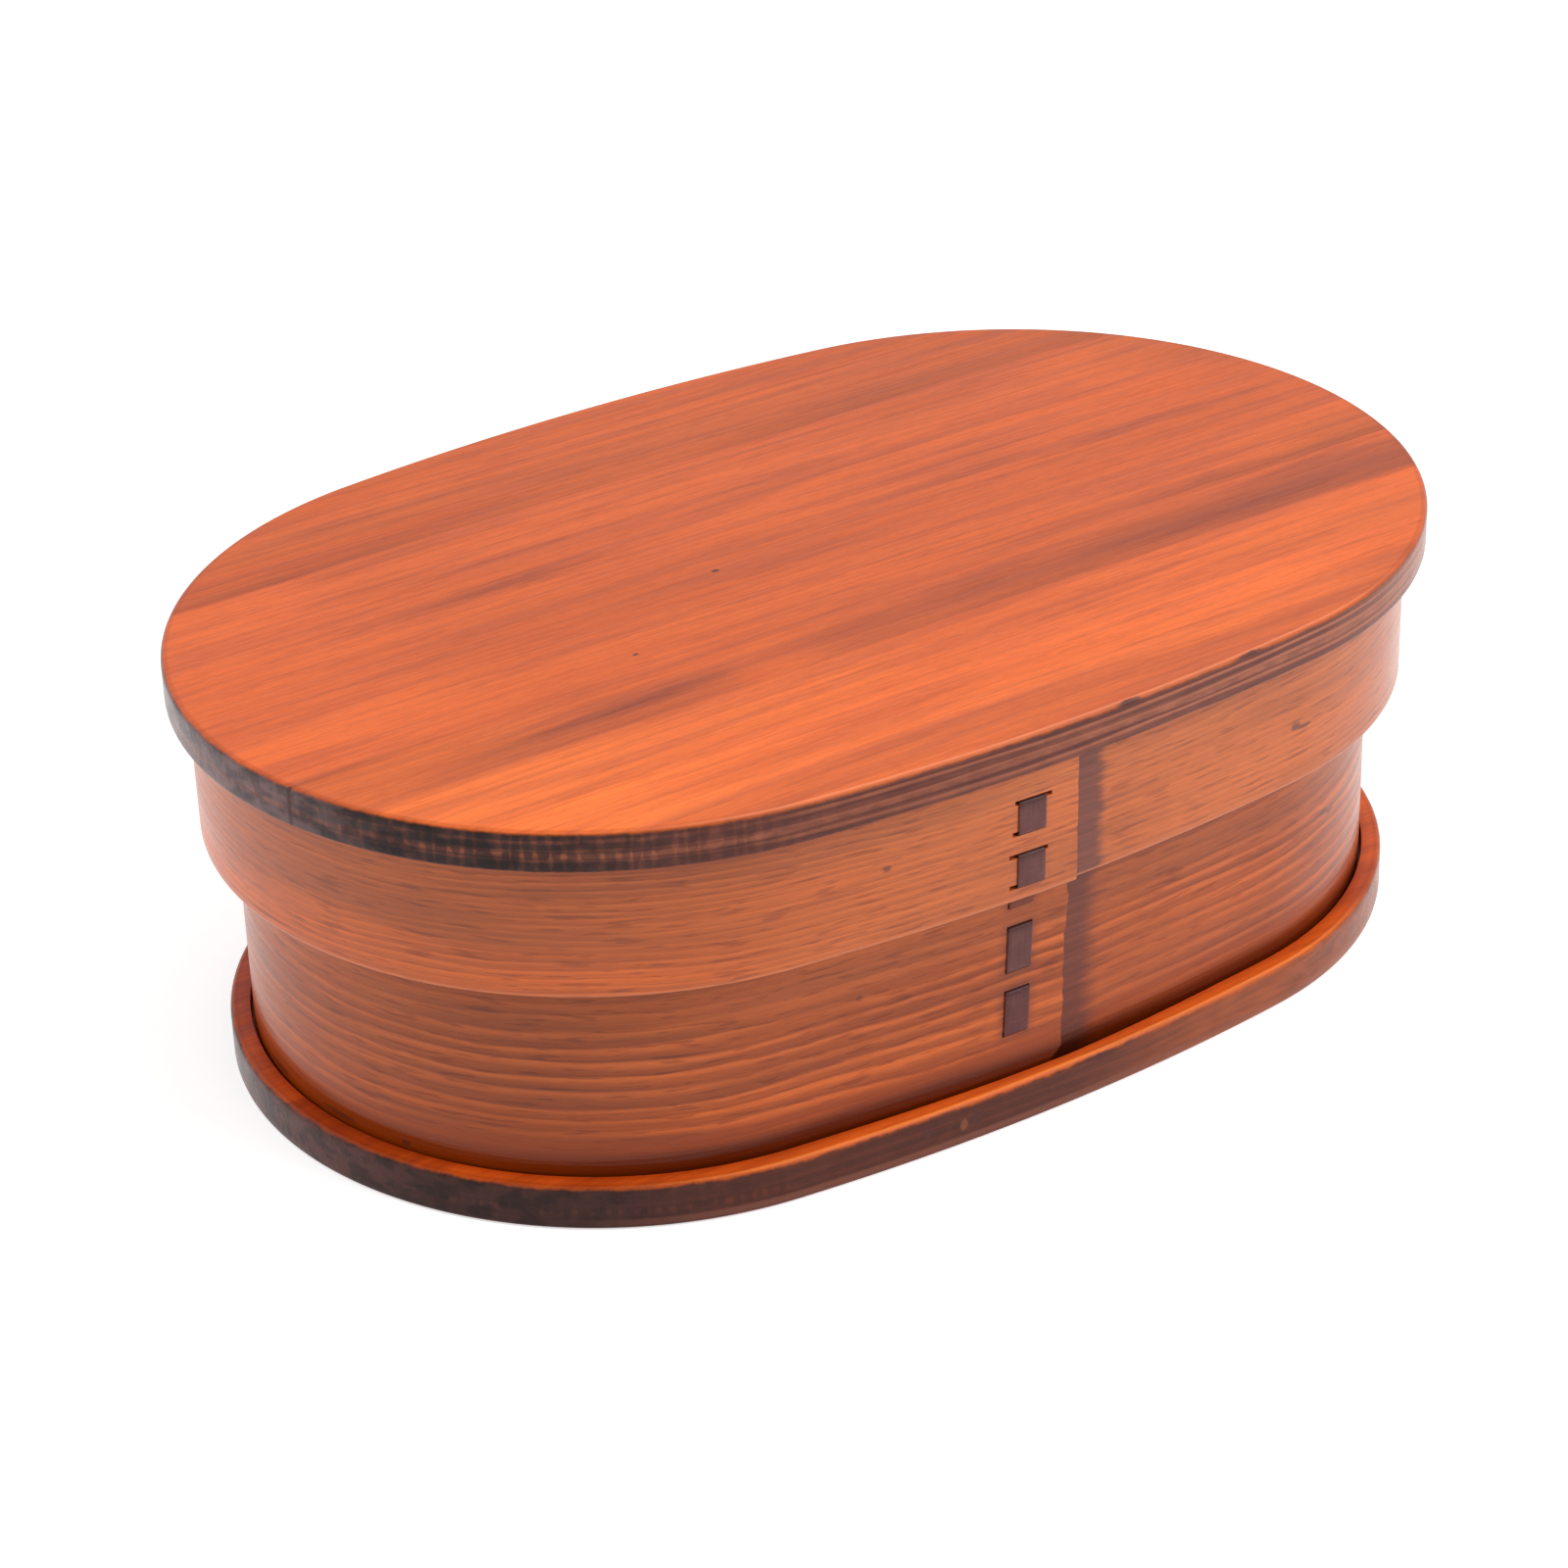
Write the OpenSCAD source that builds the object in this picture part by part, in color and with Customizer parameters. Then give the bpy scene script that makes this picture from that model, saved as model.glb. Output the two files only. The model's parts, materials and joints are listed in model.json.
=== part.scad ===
// Bentwood bento box, in millimetres. Two thin strips are bent into ovals, lapped, glued and sewn
// with bark. Each stands in a groove of a board made of two staves. The lid's board rests on the
// body's rim. +Z is up, the long side lies along X and the sewn laps face -Y.

/* [Oval outline] */
// Length over the body band
body_l = 184; // [168:1:208]
// Width over the body band
body_w = 116; // [102:1:126]
// Bow of each long side past the end arcs
side_bow = 2.3; // [1.4:0.1:3.4]

/* [Bent bands] */
// Thickness of both strips
band_t = 2.8; // [2.4:0.1:3.6]
// Wall height between the base board and the lid board
wall_h = 53.4; // [46:0.2:66]
// Height of the lid band below its board
lid_band_h = 21.4; // [16:0.2:28]
// Free play of the lid over the body at its tightest place
lid_play = 0.4; // [0.3:0.05:1]
// Rounding of the bands' free rims
band_ease = 0.5; // [0.3:0.05:0.7]

/* [Laps] */
// Length over which a strip's two ends are glued
lap_l = 38; // [30:1:46]
// Step left at each feathered end of a strip
lap_step = 0.8; // [0.5:0.05:1]
// Outer end of the body's lap, right of the middle
body_lap_x = 3.2; // [-4:0.1:6]
// Outer end of the lid's lap, right of the middle
lid_lap_x = 2; // [-4:0.1:6]

/* [Bark stitches] */
// Width of the body's bark strip
body_bark_w = 4.2; // [3.6:0.1:5.6]
// Width of the lid's bark strip
lid_bark_w = 4.6; // [3.6:0.1:5.6]
// Thickness of the bark strips
bark_t = 0.4; // [0.3:0.02:0.5]
// Distance from a lap's outer end to the middle of its stitch
stitch_in = 8.2; // [6:0.1:12]
// Slack under the bark where it lies on the wood
bark_slack = 0.05; // [0.03:0.01:0.1]
// Room between the bark and its slit, above and below
slit_room = 0.2; // [0.1:0.05:0.3]
// Room between the bark and the body's slits, at each side
body_slit_side = 0.2; // [0.1:0.1:0.6]
// Room between the bark and the lid's slits, at each side
lid_slit_side = 0.8; // [0.4:0.1:1.2]
// Wood left between one float of bark and the next
float_gap = 3; // [2.4:0.1:3.4]
// Floats of the body's stitch, the visible runs of its bark
body_floats = 4; // [3:1:5]
// Wood below the body's stitch, above the base board
body_stitch_foot = 6.6; // [4:0.1:9]
// Wood above the body's stitch, below the rim
body_stitch_head = 7.8; // [5:0.1:10]
// Floats of the lid's stitch
lid_floats = 2; // [1:1:2]
// Wood below the lid's stitch, above the lid band's foot
lid_stitch_foot = 2.1; // [1.4:0.1:3]
// Wood above the lid's stitch, below the lid board
lid_stitch_head = 5.5; // [4.4:0.1:7]
// Length of the bark's tucked ends inside
bark_tail = 2.6; // [1.6:0.1:3]

/* [Boards] */
// Thickness of the base board
base_t = 6.8; // [5.6:0.1:9]
// Thickness of the lid board
lid_t = 6.1; // [5:0.1:8]
// Ledge of the base board round the body band
base_ledge = 3.5; // [2.4:0.1:6]
// Overhang of the lid board past the lid band
lid_overhang = 3.2; // [2:0.1:6]
// Rounding of the boards' outer edges
board_ease = 0.8; // [0.4:0.1:1.2]
// Depth of the grooves that the bands stand in
groove_d = 2; // [1.4:0.1:2.8]
// Room between a band and the sides of its groove
groove_room = 0.4; // [0.15:0.05:0.6]
// Glued joint between the base's staves, from the middle
base_joint_y = -3; // [-24:0.5:24]
// Glued joint between the lid's staves, from the middle
lid_joint_y = -18; // [-24:0.5:24]

/* [Divider] */
// Thickness of the divider
divider_t = 4; // [3:0.1:6]
// Height of the divider
divider_h = 40; // [26:1:42]
// Rounding of the divider's top corners
divider_corner = 6; // [3:0.5:10]
// Place of the divider along the box
divider_x = 26; // [22:0.5:28]
// Slide of the divider toward the right end, where the walls stop it
divider_slide = 6; // [4:0.5:8]
// Room at each end of the divider where the walls stop it
divider_room = 0.4; // [0.3:0.05:0.8]

/* [Hidden] */
$fn = 180;
end_r = body_w / 2 - side_bow;
end_x = body_l / 2 - end_r;
side_y = (end_x * end_x - side_bow * side_bow) / (2 * side_bow);
side_r = body_w / 2 + side_y;
end_turn = atan2(side_y, end_x);
joint_in = 1;
arc_steps = 3;
lap_root = 1;

lap_lean = lap_step / lap_l * 180 / PI;
bark_w = max(body_bark_w, lid_bark_w);
seat_out = lap_step * (lap_l - stitch_in + bark_w / 2) / lap_l + bark_slack;
seat_in = lap_step * (stitch_in + bark_w / 2) / lap_l + bark_slack;
lid_room = seat_out + seat_in + 2 * bark_t + lid_play;
lid_grow = lid_room + band_t;

rim_z = base_t + wall_h;
lid_foot_z = rim_z - lid_band_h;
body_foot_z = base_t - groove_d;
lid_head_z = rim_z + groove_d;
body_float = float_length(wall_h - body_stitch_foot - body_stitch_head, body_floats);
lid_float = float_length(lid_band_h - lid_stitch_foot - lid_stitch_head, lid_floats);

inner_end_r = end_r - band_t;
inner_side_r = side_r - band_t;
divider_far_x = divider_x + divider_slide + divider_t / 2;
divider_half = wall_y(divider_far_x) - divider_room;

// Half the clear width inside the body band at a place along the box.
function wall_y(x) =
    x < end_x + inner_end_r * cos(end_turn)
        ? sqrt(inner_side_r * inner_side_r - x * x) - side_y
        : sqrt(inner_end_r * inner_end_r - (x - end_x) * (x - end_x));

// Length of each float when a row of them fills a height.
function float_length(row_h, floats) = (row_h + float_gap) / floats - float_gap;

// Angle on the front arc, in degrees, of a length along it.
function arc_angle(length, radius) = length / radius * 180 / PI;

// Points of a quarter round about a corner's centre.
function quarter(centre, r, from) =
    [for (i = [0 : arc_steps]) centre + r * [cos(from + i * 90 / arc_steps), sin(from + i * 90 / arc_steps)]];

// Corner of a section at a rim: rounded off by an ease above 0, flared out by one below 0.
function foot_corner(r, ease) =
    ease > 0 ? quarter([r - ease, ease], ease, -90)
    : ease < 0 ? [[r - ease, 0], [r, -ease]]
    : [[r, 0]];

function head_corner(r, h, ease) =
    ease > 0 ? quarter([r - ease, h - ease], ease, 0)
    : [[r, h]];

// Half section of a disc, from its axis or a radius near its rim out to the rim.
module disc_section(r, h, foot, head, from = 0) {
    polygon(concat([[from, 0]], foot_corner(r, foot), head_corner(r, h, head), [[from, h]]));
}

module disc(r, h, foot, head) {
    rotate_extrude()
        disc_section(r, h, foot, head);
}

// A slab with the box's oval outline, grown outward: two end discs joined by the side arcs.
module oval(grow, h, foot = 0, head = 0) {
    joint_x = end_x + (end_r + grow) * cos(end_turn) - joint_in;
    for (side = [-1, 1])
        translate([side * end_x, 0])
            disc(end_r + grow, h, foot, head);
    intersection() {
        translate([0, side_y])
            disc(side_r + grow, h, foot, head);
        translate([0, -side_y])
            disc(side_r + grow, h, foot, head);
        translate([-joint_x, -body_w, 0])
            cube([2 * joint_x, 2 * body_w, h]);
    }
}

// A bent strip closed on itself, with its free rim at z = 0 and its outer end at lap_x on the front
// arc. Room grows it all round, for the groove that it stands in.
module bent_strip(grow, h, lap_x, ease, room = 0) {
    difference() {
        union() {
            oval(grow + room, h, ease);
            lap_outside(side_r + grow, h, lap_x, ease, room);
        }
        difference() {
            oval(grow - band_t - room, h + 1, -ease);
            lap_inside(side_r + grow - band_t, h, lap_x, room);
        }
    }
}

// The outer end of a strip, leaning out over the layer below it.
module lap_outside(r, h, lap_x, ease, room) {
    start = arc_angle(lap_x - lap_l, r);
    pivot = [r * sin(start), side_y - r * cos(start)];
    translate(pivot)
        rotate(-lap_lean)
            translate([0, side_y] - pivot)
                rotate_extrude(
                    angle = arc_angle(lap_l + lap_root + room, r),
                    start = 270 + start - arc_angle(lap_root, r)
                )
                    disc_section(r + room, h, ease, 0, r - band_t / 2);
}

// The inner end of a strip, leaning in under the layer over it.
module lap_inside(r, h, lap_x, room) {
    stop = arc_angle(lap_x, r);
    pivot = [r * sin(stop), side_y - r * cos(stop)];
    translate(pivot)
        rotate(-lap_lean)
            translate([0, side_y] - pivot)
                rotate_extrude(
                    angle = arc_angle(lap_l + lap_root + room, r),
                    start = 270 + stop - arc_angle(lap_l + room, r)
                )
                    translate([r - room, 0])
                        square([band_t / 2, h]);
}

// Places a stitch on the front arc: X across the bark, -Y out of the wall.
module at_stitch(grow, lap_x) {
    translate([0, side_y])
        rotate(arc_angle(lap_x - stitch_in, side_r + grow))
            translate([0, -side_r - grow])
                children();
}

// Slits that the bark passes through, two for each float.
module slits(floats, float_l, width) {
    for (i = [0 : floats - 1], end = [0, float_l - bark_t])
        translate([-width / 2, -2 * band_t, i * (float_l + float_gap) + end - slit_room])
            cube([width, 4 * band_t, bark_t + 2 * slit_room]);
}

// Path of the bark seen from the side: floats outside, short runs inside, tucked ends.
module bark_path(floats, float_l) {
    inside = -band_t - seat_in - bark_t;
    tail = min(bark_tail, float_l / 2);
    for (i = [0 : floats - 1]) {
        foot = i * (float_l + float_gap);
        head = foot + float_l;
        translate([seat_out, foot])
            polygon(concat(
                quarter([0, bark_t], bark_t, -90),
                quarter([0, float_l - bark_t], bark_t, 0)
            ));
        for (end = [foot, head - bark_t])
            translate([inside, end])
                square([seat_out - inside, bark_t]);
        translate([inside, head - bark_t])
            square([bark_t, i == floats - 1 ? tail : float_gap + 2 * bark_t]);
    }
    translate([inside, 0])
        square([bark_t, tail]);
}

module bark_strip(floats, float_l, width) {
    rotate([90, 0, -90])
        linear_extrude(width, center = true)
            bark_path(floats, float_l);
}

module base_board() {
    difference() {
        oval(base_ledge, base_t, board_ease / 2, board_ease);
        translate([0, 0, body_foot_z])
            bent_strip(0, base_t, body_lap_x, 0, groove_room);
    }
}

module lid_board() {
    translate([0, 0, rim_z])
        difference() {
            oval(lid_grow + lid_overhang, lid_t, board_ease / 2, board_ease);
            translate([0, 0, groove_d - lid_t])
                bent_strip(lid_grow, lid_t, lid_lap_x, 0, groove_room);
        }
}

// Half of the space on one side of a glued joint: front is -1 and rear is 1.
module side_of(joint_y, side) {
    reach = body_l + body_w;
    translate([-reach / 2, side < 0 ? joint_y - reach : joint_y, -reach / 2])
        cube(reach);
}

module base_front_stave() {
    color("sienna")
        intersection() {
            base_board();
            side_of(base_joint_y, -1);
        }
}

module base_rear_stave() {
    color("sienna")
        intersection() {
            base_board();
            side_of(base_joint_y, 1);
        }
}

module lid_front_stave() {
    color("chocolate")
        intersection() {
            lid_board();
            side_of(lid_joint_y, -1);
        }
}

module lid_rear_stave() {
    color("chocolate")
        intersection() {
            lid_board();
            side_of(lid_joint_y, 1);
        }
}

module body_band() {
    color("peru")
        difference() {
            translate([0, 0, rim_z])
                mirror([0, 0, 1])
                    bent_strip(0, rim_z - body_foot_z, body_lap_x, band_ease);
            translate([0, 0, base_t + body_stitch_foot])
                at_stitch(0, body_lap_x)
                    slits(body_floats, body_float, body_bark_w + 2 * body_slit_side);
        }
}

module lid_band() {
    color("peru")
        difference() {
            translate([0, 0, lid_foot_z])
                bent_strip(lid_grow, lid_head_z - lid_foot_z, lid_lap_x, band_ease);
            translate([0, 0, lid_foot_z + lid_stitch_foot])
                at_stitch(lid_grow, lid_lap_x)
                    slits(lid_floats, lid_float, lid_bark_w + 2 * lid_slit_side);
        }
}

module body_stitch() {
    color("rosybrown")
        translate([0, 0, base_t + body_stitch_foot])
            at_stitch(0, body_lap_x)
                bark_strip(body_floats, body_float, body_bark_w);
}

module lid_stitch() {
    color("rosybrown")
        translate([0, 0, lid_foot_z + lid_stitch_foot])
            at_stitch(lid_grow, lid_lap_x)
                bark_strip(lid_floats, lid_float, lid_bark_w);
}

module divider() {
    color("burlywood")
        translate([divider_x, 0, base_t])
            rotate([90, 0, 90])
                linear_extrude(divider_t, center = true)
                    polygon(concat(
                        [[-divider_half, 0], [divider_half, 0]],
                        quarter([divider_half - divider_corner, divider_h - divider_corner], divider_corner, 0),
                        quarter([divider_corner - divider_half, divider_h - divider_corner], divider_corner, 90)
                    ));
}

base_front_stave();
base_rear_stave();
body_band();
body_stitch();
divider();
lid_front_stave();
lid_rear_stave();
lid_band();
lid_stitch();
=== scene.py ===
# %% [markdown]
# # A bentwood bento box
# This box is made of long thin strips of softwood, steamed, bent into an oval, lapped, and sewn
# with a strip of bark. Boards close it below and above. The frame holds the exact solids and says
# where each piece sits, so every surface here is worked out in the same place, in millimetres, and
# turned into metres when it becomes a mesh.

# %% Load the frame
import json
import math
import bpy
import numpy as np
from mathutils import Matrix, Vector

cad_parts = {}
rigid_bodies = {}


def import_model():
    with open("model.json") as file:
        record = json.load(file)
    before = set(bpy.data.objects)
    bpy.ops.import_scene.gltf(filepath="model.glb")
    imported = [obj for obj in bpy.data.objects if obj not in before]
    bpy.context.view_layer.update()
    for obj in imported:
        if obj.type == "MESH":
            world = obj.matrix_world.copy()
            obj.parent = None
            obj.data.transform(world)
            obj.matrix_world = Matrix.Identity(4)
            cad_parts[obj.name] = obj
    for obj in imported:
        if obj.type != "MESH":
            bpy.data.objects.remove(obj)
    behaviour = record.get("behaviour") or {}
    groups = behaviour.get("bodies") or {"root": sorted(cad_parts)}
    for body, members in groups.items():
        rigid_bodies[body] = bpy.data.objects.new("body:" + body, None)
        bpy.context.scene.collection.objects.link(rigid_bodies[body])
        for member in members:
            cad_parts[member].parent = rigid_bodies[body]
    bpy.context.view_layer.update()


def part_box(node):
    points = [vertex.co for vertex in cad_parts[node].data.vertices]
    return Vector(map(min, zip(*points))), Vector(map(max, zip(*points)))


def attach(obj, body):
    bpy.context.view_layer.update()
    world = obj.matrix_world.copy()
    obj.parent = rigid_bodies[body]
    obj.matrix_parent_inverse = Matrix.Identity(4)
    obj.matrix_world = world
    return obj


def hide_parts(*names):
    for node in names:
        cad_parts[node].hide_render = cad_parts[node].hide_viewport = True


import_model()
MM = 0.001

# %% [markdown]
# ## The oval
# Every ring of this box follows one oval of four arcs: two tight ends and two long, hardly bowed
# sides. An ellipse would be quicker to write, but a steamed strip is bent round a form with true
# arcs, and arcs have a gift for us: an outline a little larger keeps the same centres, so a point
# is just a start point moved along its outward direction.

# %% The oval as a function of arc length
BODY_L, BODY_W, SIDE_BOW = 184.0, 116.0, 2.3
END_R = BODY_W / 2 - SIDE_BOW
END_X = BODY_L / 2 - END_R
SIDE_Y = (END_X ** 2 - SIDE_BOW ** 2) / (2 * SIDE_BOW)
SIDE_R = BODY_W / 2 + SIDE_Y
END_TURN = math.atan2(SIDE_Y, END_X)
HALF_SIDE = SIDE_R * (math.pi / 2 - END_TURN)
END_ARC = END_R * 2 * END_TURN
ROUND = 4 * HALF_SIDE + 2 * END_ARC


def oval(s):
    """Point and outward direction at arc length s from the front's middle, counting towards +X.

    The stretch that s falls in gives an arc with a centre, a radius and a first angle. The angle
    grows by length over radius, and the point is the centre plus the radius times the direction.
    """
    s = np.mod(s, ROUND)
    stops = np.cumsum([0, HALF_SIDE, END_ARC, 2 * HALF_SIDE, END_ARC])
    arc = np.searchsorted(stops, s, side="right") - 1
    radius = np.array([SIDE_R, END_R, SIDE_R, END_R, SIDE_R])[arc]
    turns = [-math.pi / 2, -END_TURN, END_TURN, math.pi - END_TURN, math.pi + END_TURN]
    centre = np.array([[0, SIDE_Y], [END_X, 0], [0, -SIDE_Y], [-END_X, 0], [0, SIDE_Y]])[arc]
    angle = np.array(turns)[arc] + (s - stops[arc]) / radius
    away = np.stack([np.cos(angle), np.sin(angle)], axis=-1)
    return centre + radius[..., None] * away, away


print("once round the body:", round(ROUND, 1), "mm")

# %% [markdown]
# ## From arrays to a mesh
# All pieces go through one small helper. It writes the points, the faces, a UV map that says how
# far a face corner lies along the wood and across it, and any numbers a finish wants to read.
# Edges that turn by more than a soft rounding are marked sharp, so that the rest can be shaded
# smoothly.

# %% A helper that makes a piece
SHARP_TURN = math.radians(38)


def make_piece(name, points, faces, places, marks=None):
    """One mesh object from points in millimetres, lists of corners, and UV places in millimetres.

    There is one place for each point or, where the UV map jumps, one for each corner of each face.
    """
    mesh = bpy.data.meshes.new(name)
    mesh.from_pydata((points * MM).tolist(), [], faces)
    if len(places) == len(points):
        corners = np.empty(len(mesh.loops), dtype=np.int32)
        mesh.loops.foreach_get("vertex_index", corners)
        places = places[corners]
    layer = mesh.uv_layers.new(name="along_the_wood")
    layer.data.foreach_set("uv", (places * MM).astype(np.float32).ravel())
    for mark, values in (marks or {}).items():
        layer = mesh.attributes.new(mark, "FLOAT", "POINT")
        layer.data.foreach_set("value", values.astype(np.float32).ravel())
    mesh.shade_smooth()
    mesh.set_sharp_from_angle(angle=SHARP_TURN)
    piece = bpy.data.objects.new(name, mesh)
    bpy.context.scene.collection.objects.link(piece)
    print(name, len(faces), "faces", [round(c / MM, 1) for c in piece.dimensions])
    return piece


def grid_faces(rows, columns, closed=False):
    """Four corners of each cell of a grid stored row by row. Closed joins the two ends of a row."""
    first = np.arange(rows - 1)[:, None] * columns
    here = np.arange(columns if closed else columns - 1)
    after = (here + 1) % columns
    cells = [first + here, first + after, first + columns + after, first + columns + here]
    return np.stack(cells, axis=-1).reshape(-1, 4)


def quarter(radius, start, steps=5):
    """Sideways and upward parts of a quarter turn of this radius from a start angle in degrees."""
    turn = np.radians(start) + np.linspace(0, math.pi / 2, steps)
    return radius * np.cos(turn), radius * np.sin(turn)


def walked(line):
    """Length walked along a line at each of its points: a running sum of the steps."""
    return np.concatenate([[0], np.cumsum(np.linalg.norm(np.diff(line, axis=0), axis=1))])


# %% [markdown]
# ## Where a band laps over itself
# The strip's outer end lies on top of its inner end for a hand's breadth of wood. Both ends are
# shaved, so the outer layer rises slowly and then stops in a step, and the inner layer does the
# same on the inside. The grooves in the boards follow the same rise, and run on past the step by
# hand.

# %% The lap as a function of arc length
BAND_T = 2.8
LAP_L, LAP_STEP = 38.0, 0.8
BODY_LAP, LID_LAP = 3.2, 2.0
LID_GROW = 4.997
RUN_OUT = 30.0


def lap_layers(back):
    """Extra thickness outside and inside, a distance back from the lap's outer end: two ramps."""
    on_lap = (back >= 0) & (back <= LAP_L)
    share = np.clip(back / LAP_L, 0, 1)
    return LAP_STEP * np.where(on_lap, 1 - share, 0), LAP_STEP * np.where(on_lap, share, 0)


def groove_run(beyond):
    """Width left over in a groove, beyond the lap's outer end: a ramp back to nothing."""
    return LAP_STEP * np.clip(1 - beyond / RUN_OUT, 0, 1)


# %% [markdown]
# ## The boards
# The base and the lid are each glued up from two staves, planed flat, sawn to the oval and grooved
# for the band. A stave's edge is one profile carried along part of the oval: out under the board,
# round the lower edge, up, round the top edge and back in, with a dip for the groove. The
# profile's two ends are closed by flat faces, and so is the glued joint. A boolean cut would give
# the same solid, but the carried profile keeps long clean quads that hold a smooth rounding.

# %% The profile of a board and a stave made with it
GROOVE_D, GROOVE_ROOM, GROOVE_EASE = 2.0, 0.4, 0.12
UNDER_FLAT, TOP_FLAT, GROOVE_FLAT = 0.5, 0.4, 0.6
JOINT_GAP = 0.004
STAVE_COLUMNS = 300


def board_profile(grow, foot, head, ease, groove_grow, groove_on_top):
    """Rows of (outward, height) from the underside round the edge to the top, with two more facts.

    The first says whether a row follows the lap outside (1), inside (-1) or not at all (0). The
    second is the length walked down from the top row.
    """
    low_out, low_up = quarter(ease / 2, -90, 4)
    high_out, high_up = quarter(ease, 0, 6)
    side = np.linspace(foot + ease / 2, head - ease, 6)[1:-1]
    edge = np.concatenate([
        np.stack([grow - ease / 2 + low_out, foot + ease / 2 + low_up], axis=-1),
        np.stack([np.full(4, grow), side], axis=-1),
        np.stack([grow - ease + high_out, head - ease + high_up], axis=-1),
    ])
    wide = groove_grow + GROOVE_ROOM
    narrow = groove_grow - BAND_T - GROOVE_ROOM
    level, inwards = (head, -1) if groove_on_top else (foot, 1)
    nick, bottom = level + inwards * GROOVE_EASE, level + inwards * GROOVE_D
    groove = np.array([
        [wide + GROOVE_EASE, level], [wide, nick], [wide, bottom], [narrow, bottom],
        [narrow, nick], [narrow - GROOVE_EASE, level], [narrow - GROOVE_FLAT, level],
    ])
    follows = np.array([1, 1, 1, -1, -1, -1, -1])
    under = [[grow - ease / 2 - UNDER_FLAT, foot]]
    over = [[grow - ease - TOP_FLAT, head]]
    plain = np.zeros(len(edge) + 2)
    if groove_on_top:
        rows = np.concatenate([under, edge, over, groove])
        follows = np.concatenate([plain, follows])
    else:
        rows = np.concatenate([groove[::-1], under, edge, over])
        follows = np.concatenate([follows[::-1], plain])
    top_row = len(edge) + (0 if groove_on_top else len(groove))
    down = walked(rows)
    return rows, follows, down[top_row] - down


def stave(name, profile, joint_y, at_front, lap_at):
    """A board's half: the profile carried along the oval from one end of the joint to the other.

    On an end arc y is (radius + outward) * sin(angle), so the angle where a row meets the joint is
    the arcsine of the joint's y over that radius. Every row is spread evenly between its two ends.
    """
    rows, follows, down = profile
    joint = joint_y + (-JOINT_GAP if at_front else JOINT_GAP)
    turn = np.arcsin(joint / (END_R + rows[:, 0]))
    right = HALF_SIDE + END_R * (END_TURN + turn)
    left = 3 * HALF_SIDE + END_ARC + END_R * (END_TURN - turn)
    start, end = (left, right + ROUND) if at_front else (right, left)
    s = start[:, None] + (end - start)[:, None] * np.linspace(0, 1, STAVE_COLUMNS)
    outside, inside = lap_layers(np.mod(lap_at - s, ROUND))
    outside = np.maximum(outside, groove_run(np.mod(s - lap_at, ROUND)))
    follows = follows[:, None]
    bulge = np.where(follows > 0, outside, 0) - np.where(follows < 0, inside, 0)
    flat, away = oval(s)
    flat = flat + away * (rows[:, 0, None] + bulge)[..., None]
    height = np.broadcast_to(rows[:, 1, None], s.shape)
    points = np.concatenate([flat, height[..., None]], axis=-1).reshape(-1, 3)
    index = np.arange(s.size).reshape(s.shape)
    caps = [index[0, ::-1], index[-1], np.concatenate([index[:, 0], index[::-1, -1]])]
    faces = grid_faces(*s.shape).tolist() + [cap.tolist() for cap in caps]
    marks = {"below_top": np.repeat(down * MM, STAVE_COLUMNS), "end_grain": np.abs(away[..., 0])}
    return make_piece(name, points, faces, np.stack([s, height], axis=-1).reshape(-1, 2), marks)


# %% Make the four staves
BASE_T, LID_T = 6.8, 6.1
BASE_LEDGE, LID_OVERHANG = 3.5, 3.2
RIM_Z = BASE_T + 53.4
BASE_JOINT, LID_JOINT = -3.0, -18.0
BOARD_EASE = 0.8
FACET_ROOM = 0.02
LID_REACH = LID_GROW + LID_OVERHANG - FACET_ROOM
base_profile = board_profile(BASE_LEDGE - FACET_ROOM, 0, BASE_T, BOARD_EASE, 0, True)
lid_profile = board_profile(LID_REACH, RIM_Z, RIM_Z + LID_T, BOARD_EASE, LID_GROW, False)
base_front = stave("base_board_front", base_profile, BASE_JOINT, True, BODY_LAP)
base_rear = stave("base_board_rear", base_profile, BASE_JOINT, False, BODY_LAP)
lid_front = stave("lid_board_front", lid_profile, LID_JOINT, True, LID_LAP)
lid_rear = stave("lid_board_rear", lid_profile, LID_JOINT, False, LID_LAP)

# %% [markdown]
# ## The bent bands
# A band is a closed wall section carried once round the oval. It starts just right of the lap's
# end and comes back on top of its own start, so the step at the end is simply the last row of
# cells. The UV map runs along the strip without a break and jumps only at that step, as the grain
# of the real strip does. Slits for the bark are cells left out of both faces, with four little
# walls between.

# %% Hand-made unevenness
BODY_BARK, LID_BARK, BARK_T = 4.2, 4.6, 0.4
STITCH_IN, SLIT_ROOM = 8.2, 0.15
FLOAT_GAP = 3.0
STEP_RUN = 0.12
BAND_EASE = 0.5
KNOT_GAP, WAVE_L, RUBBED_H = 0.9, 5, 1.4


def lean(height, slope, upright, aside):
    """How far a hand-cut lap and its stitch stray along the strip: a line of the height."""
    return slope * (height - upright) + aside


def ragged(level, seed, size, drawn):
    """A small uneven shift for each height: seeded random values a little apart, joined by lines.

    A bell curve of the height above the base draws the foot of the end back, as a rubbed corner.
    """
    rng = np.random.default_rng(seed)
    knots = np.arange(0, 80, KNOT_GAP)
    shifts = rng.normal(0, size, len(knots)) + size * np.sin(knots / WAVE_L)
    return np.interp(level, knots, shifts) - drawn * np.exp(-((level - BASE_T) / RUBBED_H) ** 2)


BODY_LEAN, LID_LEAN = (0.05, 30.0, 0.0), (0.022, 60.0, -0.15)
strays = lean(RIM_Z, *BODY_LEAN) - lean(BASE_T, *BODY_LEAN)
print("the body's lap strays by", round(strays, 2), "mm over its height")

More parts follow.
